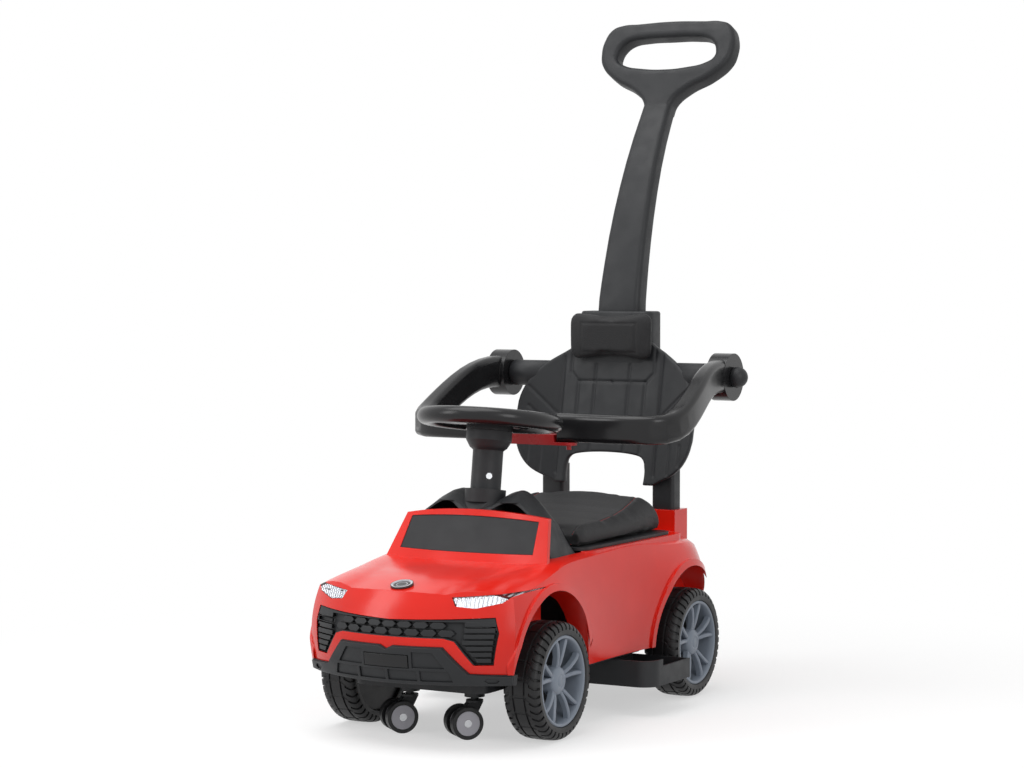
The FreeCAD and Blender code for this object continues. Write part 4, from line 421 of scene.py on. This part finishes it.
lens_clear, tree, skin, place = blank("lens_clear_plastic")
haze = shader(tree, "TexNoise", Vector=place, Scale=60)
haze_level = shader(tree, "MapRange", Value=haze.outputs["Fac"], To_Min=0.03, To_Max=0.1)
feed(skin, Base_Color=(0.93, 0.94, 0.96, 1), Transmission_Weight=1, IOR=1.3,
     Roughness=haze_level.outputs["Result"])
dress(lens_clear, "headlight_lenses")

metallised = bright_steel("metallised_reflector", (0.78, 0.79, 0.82), rough=0.22)
tree = metallised.node_tree
skin = tree.nodes["Principled BSDF"]
place = shader(tree, "TexCoord").outputs["Object"]
flutes = shader(tree, "TexWave", Vector=place, Scale=70, Distortion=1.5)
flutes.bands_direction = "X"
fold = shader(tree, "Bump", Distance=0.0012, Height=flutes.outputs["Fac"])
squeeze = shader(tree, "Mapping", Vector=place, Scale=(95, 40, 210))
diodes = shader(tree, "TexVoronoi", Vector=squeeze.outputs["Vector"], Scale=1, Randomness=0.7)
spot_size = shader(tree, "MapRange", Value=diodes.outputs["Distance"], From_Min=0.3, From_Max=0.24)
low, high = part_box("headlight_reflectors")
rise = high[2] - low[2]
height = shader(tree, "SeparateXYZ", Vector=place)
upper_part = shader(tree, "MapRange", Value=height.outputs["Z"], From_Min=low[2] + rise * 0.35,
                    From_Max=low[2] + rise * 0.45)
stain = shader(tree, "Mix")
stain.data_type = "RGBA"
feed(stain, Factor=reckon(tree, "MULTIPLY", upper_part.outputs["Result"], spot_size.outputs["Result"]),
     A=skin.inputs["Base Color"].links[0].from_socket, B=(0.07, 0.06, 0.065, 1))
feed(skin, Base_Color=stain.outputs["Result"], Normal=fold.outputs["Normal"])
dress(metallised, "headlight_reflectors")

# Bonnet badge
# A plain round disc moulded in dark plastic with a raised ring, stuck on the bonnet.
# Two pale rings are printed on its face.
badge_dark = moulded("badge_dark_plastic", (0.03, 0.032, 0.035), rough=0.3, grain=900, depth=0.00003)
tree = badge_dark.node_tree
low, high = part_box("bonnet_badge")
badge_radius = (high[0] - low[0]) / 2
place = shader(tree, "TexCoord").outputs["Object"]
away = reckon(tree, "DISTANCE", place, middle_of("bonnet_badge"), kind="VectorMath")
bands = shader(tree, "ValToRGB", Fac=reckon(tree, "DIVIDE", away, badge_radius))
bands.color_ramp.interpolation = "CONSTANT"
for start, shade in ((0.0, 0.03), (0.43, 0.5), (0.5, 0.03), (0.75, 0.62), (0.93, 0.05)):
    mark = bands.color_ramp.elements.new(start)
    mark.color = (shade, shade, shade * 1.05, 1)
bands.color_ramp.elements.remove(bands.color_ramp.elements[-1])
bands.color_ramp.elements.remove(bands.color_ramp.elements[0])
feed(tree.nodes["Principled BSDF"], Base_Color=bands.outputs["Color"])
dress(badge_dark, "bonnet_badge")

# Windscreen panel and dashboard
# The panel is a matt black sheet let into the red frame; the dash is one grained twin-hump moulding with a
# collar for the steering column. A moulded block inside is the steering shaft's bearing.
dress(matt_black, "windscreen_panel", "dashboard_cover", "shaft_bearing")

# Steering
# Moulded glossy black wheel on a matt column with a bulb collar; the horn button sits in the hub.
# The column is screwed to a steel shaft.
gloss_black = moulded("gloss_black_plastic", (0.011, 0.011, 0.012), rough=0.24, grain=900, depth=0.00003)
dress(gloss_black, "steering_wheel")
dress(matt_black, "horn_button", "steering_column")

# Storage tub and seat lid
# A black moulded bin stands on the pan's floor under the seat.
# The lid over it turns on a steel hinge pin and carries the cushion.
dress(matt_black, "storage_tub", "seat_lid")

# Seat cushion
# Foam under a sewn black leather-look cover, stapled to the lid: the CAD form is drawn in, remeshed and
# blown up as cloth, then its two top seams are pressed in and sewn with red thread.
def settle(piece):
    """Makes what the modifiers show the piece's own mesh."""
    graph = bpy.context.evaluated_depsgraph_get()
    shown = bpy.data.meshes.new_from_object(piece.evaluated_get(graph))
    piece.modifiers.clear()
    piece.data = shown


def plump(node, name, finish, body, draw_in, most, voxel):
    """A padded piece: the CAD solid's form, slightly smaller, filled by a cloth simulation."""
    mesh = nodes[node].data.copy()
    pad = bpy.data.objects.new(name, mesh)
    bpy.context.scene.collection.objects.link(pad)
    mesh.materials.clear()
    mesh.materials.append(finish)
    remesh = pad.modifiers.new("cover", "REMESH")
    remesh.mode, remesh.voxel_size, remesh.use_smooth_shade = "VOXEL", voxel, True
    settle(pad)
    start = [vert.co - vert.normal * draw_in for vert in pad.data.vertices]
    for vert, spot in zip(pad.data.vertices, start):
        vert.co = spot
    pressure, moments = 4, 20
    cloth = pad.modifiers.new("fill", "CLOTH")
    cloth.settings.use_pressure = True
    cloth.settings.uniform_pressure_force = pressure
    cloth.settings.effector_weights.gravity = 0
    cloth.point_cache.frame_start, cloth.point_cache.frame_end = 1, moments
    for moment in range(1, moments + 1):
        bpy.context.scene.frame_set(moment)
    settle(pad)
    bpy.context.scene.frame_set(1)
    for vert, spot in zip(pad.data.vertices, start):
        move = vert.co - spot
        if move.length > most:
            vert.co = spot + move * (most / move.length)
    refine = pad.modifiers.new("drape", "SUBSURF")
    refine.levels = refine.render_levels = 2
    settle(pad)
    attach(pad, body)
    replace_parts(pad, node)
    return pad


def leather(name, colour):
    """Leather-look cover: pebbled grain with fine wrinkles, painted darker in its valleys as shade and lighter
    on its worn ridges.
    """
    finish, tree, skin, place = blank(name)
    pebble = shader(tree, "TexVoronoi", Vector=place, Scale=620)
    pebble.feature = "SMOOTH_F1"
    wrinkle = shader(tree, "TexNoise", Vector=place, Scale=140, Detail=6)
    relief = reckon(tree, "MULTIPLY_ADD", wrinkle.outputs["Fac"], 0.6, pebble.outputs["Distance"])
    bump = shader(tree, "Bump", Strength=0.5, Distance=0.0004, Height=relief)
    gloss = shader(tree, "MapRange", Value=relief, To_Min=0.5, To_Max=0.68)
    # The colour follows the grain's height: painted shade darkens its valleys, and its ridges are lighter as
    # wear.
    feed(skin, Base_Color=clouded(tree, relief, colour, dark=0.8, light=1.35),
         Roughness=gloss.outputs["Result"], Normal=bump.outputs["Normal"], Specular_IOR_Level=0.3,
         Sheen_Weight=0.04)
    return finish


def nearest(spot, start, end):
    """The point of a straight run that is nearest to a spot."""
    run = end - start
    return start + run * min(max((spot - start).dot(run) / run.length_squared, 0), 1)


def press(pad, line, depth, width, way):
    """Draws a sewn line into a padded piece, on the side that faces a given way."""
    facing = [vert for vert in pad.data.vertices if vert.normal.dot(way) > 0.3]
    for vert in facing:
        flat = vert.co - way * vert.co.dot(way)
        gap = min((flat - nearest(flat, a, b)).length for a, b in zip(line, line[1:]))
        vert.co -= way * (depth * math.exp(-(gap / width) ** 2))


seat_cover = leather("seat_cover_leather", (0.013, 0.013, 0.014))
cushion = plump("seat_cushion", "cushion_cover", seat_cover, "seat", draw_in=0.004, most=0.007, voxel=0.0056)
low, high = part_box("seat_cushion")
for vert in cushion.data.vertices:
    vert.co.z = max(vert.co.z, low[2])
# Points of a seam, as shares of the half width and of the length that it is measured against.
seam_shares = [
    (0.79, 0.022), (0.765, 0.03), (0.77, 0.18), (0.755, 0.36), (0.725, 0.52), (0.685, 0.66), (0.645, 0.78),
    (0.615, 0.86), (0.60, 0.91), (0.585, 0.95),
]
box_share = 0.985
half, length = (high[0] - low[0]) / 2 / box_share, high[1] - low[1]
seams = [
    [Vector((side * half * across, low[1] + length * along, 0)) for across, along in seam_shares]
    for side in (1, -1)
]
for seam in seams:
    press(cushion, seam, depth=0.0014, width=0.0022, way=Vector((0, 0, 1)))
cover = BVHTree.FromPolygons([vert.co for vert in cushion.data.vertices],
                             [face.vertices for face in cushion.data.polygons])
thread = bmesh.new()
stitch_pitch, stitch_rise, overhead = 0.0034, 0.0002, high[2] + 0.05
stitch_size = Matrix.Diagonal((0.0013, 0.00042, 0.0004, 1))
for seam in seams:
    for start, end in zip(seam, seam[1:]):
        stitches = int((end - start).length / stitch_pitch)
        for step in range(stitches):
            spot = start.lerp(end, (step + 0.5) / stitches)
            found, normal = cover.ray_cast(Vector((spot.x, spot.y, overhead)), Vector((0, 0, -1)))[:2]
            if found is None:
                continue
            run = (end - start).normalized()
            run = (run - normal * run.dot(normal)).normalized()
            turned = Matrix((run, normal.cross(run), normal)).transposed().to_4x4()
            raised = Matrix.Translation(found + normal * stitch_rise)
            bmesh.ops.create_icosphere(thread, subdivisions=1, radius=1, matrix=raised @ turned @ stitch_size)
red_thread = moulded("red_sewing_thread", (0.5, 0.012, 0.014), rough=0.6, grain=2600, depth=0.0001)
new_piece(thread, "cushion_stitching", red_thread, "seat", crease=60)

# Backrest
# Two moulded halves screwed together round the handle's neck, standing on square posts: a plate with
# pressed seams, leant back and bent forward at its wings, and a cover behind it that carries the neck.
def rounded_loop(width, depth, corner, steps=5):
    """Points of a rectangle with rounded corners, about its middle."""
    loop = []
    for quarter, (right, up) in enumerate(((1, 1), (-1, 1), (-1, -1), (1, -1))):
        for step in range(steps + 1):
            turn = math.pi / 2 * (quarter + step / steps)
            loop.append((right * (width / 2 - corner) + corner * math.cos(turn),
                         up * (depth / 2 - corner) + corner * math.sin(turn)))
    return loop


oval = both_halves([
    (47.7, 328, False), (57.8, 323.2, False), (62, 311.6, False), (62, 287, True), (78, 287, True),
    (126, 317, False), (140.5, 368, False), (129, 430, False), (57, 487, True),
])
back_seams = [
    [(27, 334), (27, 455)], [(53, 331), (53, 431)], [(78, 301), (78, 471)],
    [(66, 477), (66, 444), (54, 431), (0, 431)],
    [(126, 423), (84, 385)], [(124, 395), (84, 362)], [(102, 345), (102, 303)], [(120, 345), (120, 317)],
]
face_at, foot_z, recline = 0.1705, 0.287, 0.19
wing_from, wing_slope = 0.078, 0.018 / 0.0625
neck_at, neck_width, neck_depth, neck_corner = 226, 114, 46, 14
neck_levels = [(457, 0), (528, 0), (530.4, 2), (531, 6)]
for name, node, half, shrink, setback, voxel in (
    ("winged_back_front", "backrest_front", 0.0045, 0, 0.0045, 0.0016),
    ("winged_back_cover", "backrest_back", 0.0065, 0.006, 0.0158, 0.003),
):
    sheet = bpy.data.objects.new(name, cut_plate([oval], half, edge=0.0025, shrink=shrink))
    bpy.context.scene.collection.objects.link(sheet)
    remesh = sheet.modifiers.new("even_mesh", "REMESH")
    remesh.mode, remesh.voxel_size, remesh.use_smooth_shade = "VOXEL", voxel, True
    settle(sheet)
    for vert in sheet.data.vertices:
        vert.co = (vert.co.x, -vert.co.z, vert.co.y)
    if not shrink:
        for seam in back_seams:
            for side in (1, -1):
                line = [Vector((side * across / 1000, 0, up / 1000)) for across, up in seam]
                press(sheet, line, depth=0.0016, width=0.0019, way=Vector((0, -1, 0)))
    form = bmesh.new()
    form.from_mesh(sheet.data)
    for vert in form.verts:
        vert.co.y += face_at + setback + recline * (vert.co.z - foot_z)
        vert.co.y -= max(abs(vert.co.x) - wing_from, 0) * wing_slope
    if shrink:
        skin_rows(form, [
            [(x, neck_at + y, z) for x, y in rounded_loop(neck_width - inset, neck_depth - inset, neck_corner)]
            for z, inset in neck_levels
        ])
    bpy.data.objects.remove(sheet)
    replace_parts(new_piece(form, name, matt_black, "car", crease=50), node)
dress(matt_black, "backrest_posts")

# Headrest
# A small foam pad under the same cover, sewn with a faint rectangle.
# It is fixed to the front of the backrest's neck.
headrest = plump("headrest_pad", "headrest_cover", seat_cover, "car", draw_in=0.003, most=0.005, voxel=0.004)
low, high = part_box("headrest_pad")
narrower, front_at, thinner, lifted, taller = 0.97, 0.186, 0.95, 0.001, 0.02
for vert in headrest.data.vertices:
    vert.co.x *= narrower
    vert.co.y = front_at + (vert.co.y - low[1]) * thinner
    vert.co.z += lifted + (vert.co.z - low[2]) * taller
seam_half, seam_foot, seam_head = 0.043, low[2] + 0.014, high[2] - 0.016
edge = [(-seam_half, seam_foot), (seam_half, seam_foot), (seam_half, seam_head), (-seam_half, seam_head)]
line = [Vector((x, 0, z)) for x, z in edge + edge[:1]]
press(headrest, line, depth=0.0008, width=0.002, way=Vector((0, -1, 0)))

# Push handle
# A hollow black moulding plugged into the backrest's neck: a curved tapering shaft runs into a rounded D grip,
# whose outline is a smooth curve with a second one for its opening.
# Each station of the shaft: height, setback and taper, as shares of the way from the neck's top to the grip.
stations = [
    (0, 0, 0), (0.05, 0.012, 0.03), (0.12, 0.05, 0.09), (0.22, 0.112, 0.19), (0.34, 0.198, 0.3),
    (0.46, 0.3, 0.43), (0.58, 0.42, 0.57), (0.7, 0.557, 0.71), (0.82, 0.718, 0.84),
    (0.92, 0.873, 0.94), (1, 1, 1),
]
grip_root, grip_tilt = Vector((0, 353.4, 830.7)), math.radians(21)
shaft_at, neck_top, plug_foot = 230, 531, 497
shaft_width, shaft_depth, shaft_corner = 66, 32, 8
width_loss, depth_loss = 22, 5
spine = [
    Vector((0, shaft_at + (grip_root.y - shaft_at) * setback, neck_top + (grip_root.z - neck_top) * up))
    for up, setback, taper in stations
]
rows = [[(x, shaft_at + y, plug_foot) for x, y in rounded_loop(shaft_width, shaft_depth, shaft_corner)]]
for index, centre in enumerate(spine):
    way = (spine[min(index + 1, len(spine) - 1)] - spine[max(index - 1, 0)]).normalized()
    back = way.cross(Vector((1, 0, 0)))
    taper = stations[index][2]
    loop = rounded_loop(shaft_width - width_loss * taper, shaft_depth - depth_loss * taper, shaft_corner)
    rows.append([centre + Vector((x, 0, 0)) + back * y for x, y in loop])
handle = bmesh.new()
skin_rows(handle, rows)
grip_outer = both_halves([
    (20.5, -15.7, True), (24.3, 1.3, False), (43.2, 19.7, False), (78.8, 39.3, False), (102.6, 62.2, False),
    (108, 81.2, False), (106.4, 102.2, False), (96.1, 121.2, False), (78.8, 127.9, False), (54, 129, False),
    (0, 131, False),
])
grip_opening = both_halves([
    (0, 53.7, False), (37.8, 56.3, False), (65.9, 62.2, False), (78.3, 70.7, False), (79.4, 79.9, False),
    (74.5, 91.7, False), (63.7, 100.2, False), (41, 104.1, False), (0, 104.8, False),
])
grip = cut_plate([grip_outer, grip_opening], half=0.015, edge=0.008)
grip.transform(Matrix.Translation(grip_root / 1000) @ Matrix.Rotation(math.pi / 2 - grip_tilt, 4, "X"))
handle.from_mesh(grip)
bmesh.ops.remove_doubles(handle, verts=handle.verts, dist=0.00005)
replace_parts(new_piece(handle, "moulded_handle", matt_black, "car", crease=40), "push_handle")
dress(matt_black, "handle_button")

# Guard
# Two glossy black moulded arms that lift together, joined in front by a red clip.
# They swing on matt black sleeves, which come out from behind the backrest's wings, with a knob at each end.
clip_red = moulded("clip_red_plastic", (0.42, 0.012, 0.014), rough=0.3, grain=900, depth=0.00003)
dress(gloss_black, "guard_arm_left", "guard_arm_right")
dress(clip_red, "guard_clip")
dress(matt_black, "guard_knobs")
sleeves = bmesh.new()
low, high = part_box("guard_pivot_tubes")
axis_y, axis_z = (low[1] + high[1]) / 2, (low[2] + high[2]) / 2
root, wing_edge, bore, barrel_radius = 0.102, 0.127, 0.0085, 0.0184
sleeve = [
    (root, barrel_radius), (wing_edge, barrel_radius), (0.158, barrel_radius), (high[0], 0.0165),
    (high[0], bore), (wing_edge, bore), (root, bore),
]
for side in (1, -1):
    spots = [(side * across, axis_y, axis_z + radius) for across, radius in sleeve]
    lathe(sleeves, spots, (0, axis_y, axis_z), steps=64)
behind_face = 0.004
for vert in sleeves.verts:
    if abs(vert.co.x) < wing_edge - 0.001:
        face_y = face_at + recline * (vert.co.z - foot_z) - (abs(vert.co.x) - wing_from) * wing_slope
        vert.co.y = max(vert.co.y, face_y + behind_face)
pivot = new_piece(sleeves, "pivot_sleeves", matt_black, "car", crease=40)
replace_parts(pivot, "guard_pivot_tubes")

# Studio
# A round paper floor that fades to white, with white air around it.
# Soft boxes stand over and in front of the car, and the camera looks from the front, a little above.
floor_form = bmesh.new()
bmesh.ops.create_circle(floor_form, cap_ends=True, radius=14, segments=96)
floor_mesh = bpy.data.meshes.new("studio_floor")
floor_form.to_mesh(floor_mesh)
floor_form.free()
floor = bpy.data.objects.new("studio_floor", floor_mesh)
bpy.context.scene.collection.objects.link(floor)
paper, tree, lit_paper, place = blank("studio_paper")
feed(lit_paper, Base_Color=(0.5, 0.5, 0.5, 1), Roughness=0.9, Specular_IOR_Level=0)
reach = reckon(tree, "LENGTH", place, kind="VectorMath")
fade = shader(tree, "MapRange", Value=reach, From_Min=0.5, From_Max=1.1)
fade.interpolation_type = "SMOOTHSTEP"


def seen_white(tree):
    """One for rays that the camera, a reflection or a clear lens sends, zero for the light on the car."""
    path = shader(tree, "LightPath").outputs
    seen = reckon(tree, "MAXIMUM", path["Is Camera Ray"], path["Is Transmission Ray"])
    return reckon(tree, "MAXIMUM", seen, path["Is Glossy Ray"])


seen = seen_white(tree)
veil = shader(tree, "Emission", Strength=reckon(tree, "MULTIPLY", seen, 0.52))
near = shader(tree, "AddShader")
plug(near.inputs[0], lit_paper.outputs["BSDF"])
plug(near.inputs[1], veil.outputs["Emission"])
blend = shader(tree, "MixShader", Fac=reckon(tree, "MULTIPLY", fade.outputs["Result"], seen))
plug(blend.inputs[1], near.outputs["Shader"])
plug(blend.inputs[2], shader(tree, "Emission").outputs["Emission"])
feed(tree.nodes["Material Output"], Surface=blend.outputs["Shader"])
floor_mesh.materials.append(paper)

scene = bpy.context.scene
scene.view_settings.view_transform = "Standard"
sky = bpy.data.worlds.new("studio_air")
scene.world = sky
sky.use_nodes = True
tree = sky.node_tree
level = shader(tree, "MapRange", Value=seen_white(tree), To_Min=0.5, To_Max=1)
feed(tree.nodes["Background"], Color=(1, 1, 1, 1), Strength=level.outputs["Result"])

aim = Vector((0, -0.092, 0.4389))
for name, spot, width, height, power in (
    ("box_over", (-0.5, -0.7, 3.0), 2.4, 2.4, 52),
    ("box_front_left", (-2.2, -2.6, 1.7), 1.1, 1.8, 26),
    ("box_front_right", (2.7, -1.7, 1.5), 1.1, 1.8, 22),
):
    lamp = bpy.data.lights.new(name, "AREA")
    lamp.shape = "RECTANGLE"
    lamp.size, lamp.size_y, lamp.energy = width, height, power
    box = bpy.data.objects.new(name, lamp)
    box.location = spot
    box.rotation_euler = (aim - Vector(spot)).to_track_quat("-Z", "Y").to_euler()
    scene.collection.objects.link(box)

turn, dip, away = math.radians(29.32), math.radians(2.59), 3.5
back = Vector((math.sin(turn) * math.cos(dip), -math.cos(turn) * math.cos(dip), math.sin(dip)))
lens = bpy.data.cameras.new("photo_camera")
lens.sensor_width, lens.lens = 36, 92.71
camera = bpy.data.objects.new("photo_camera", lens)
camera.location = aim + back * away
camera.rotation_euler = (-back).to_track_quat("-Z", "Y").to_euler()
scene.collection.objects.link(camera)
scene.camera = camera
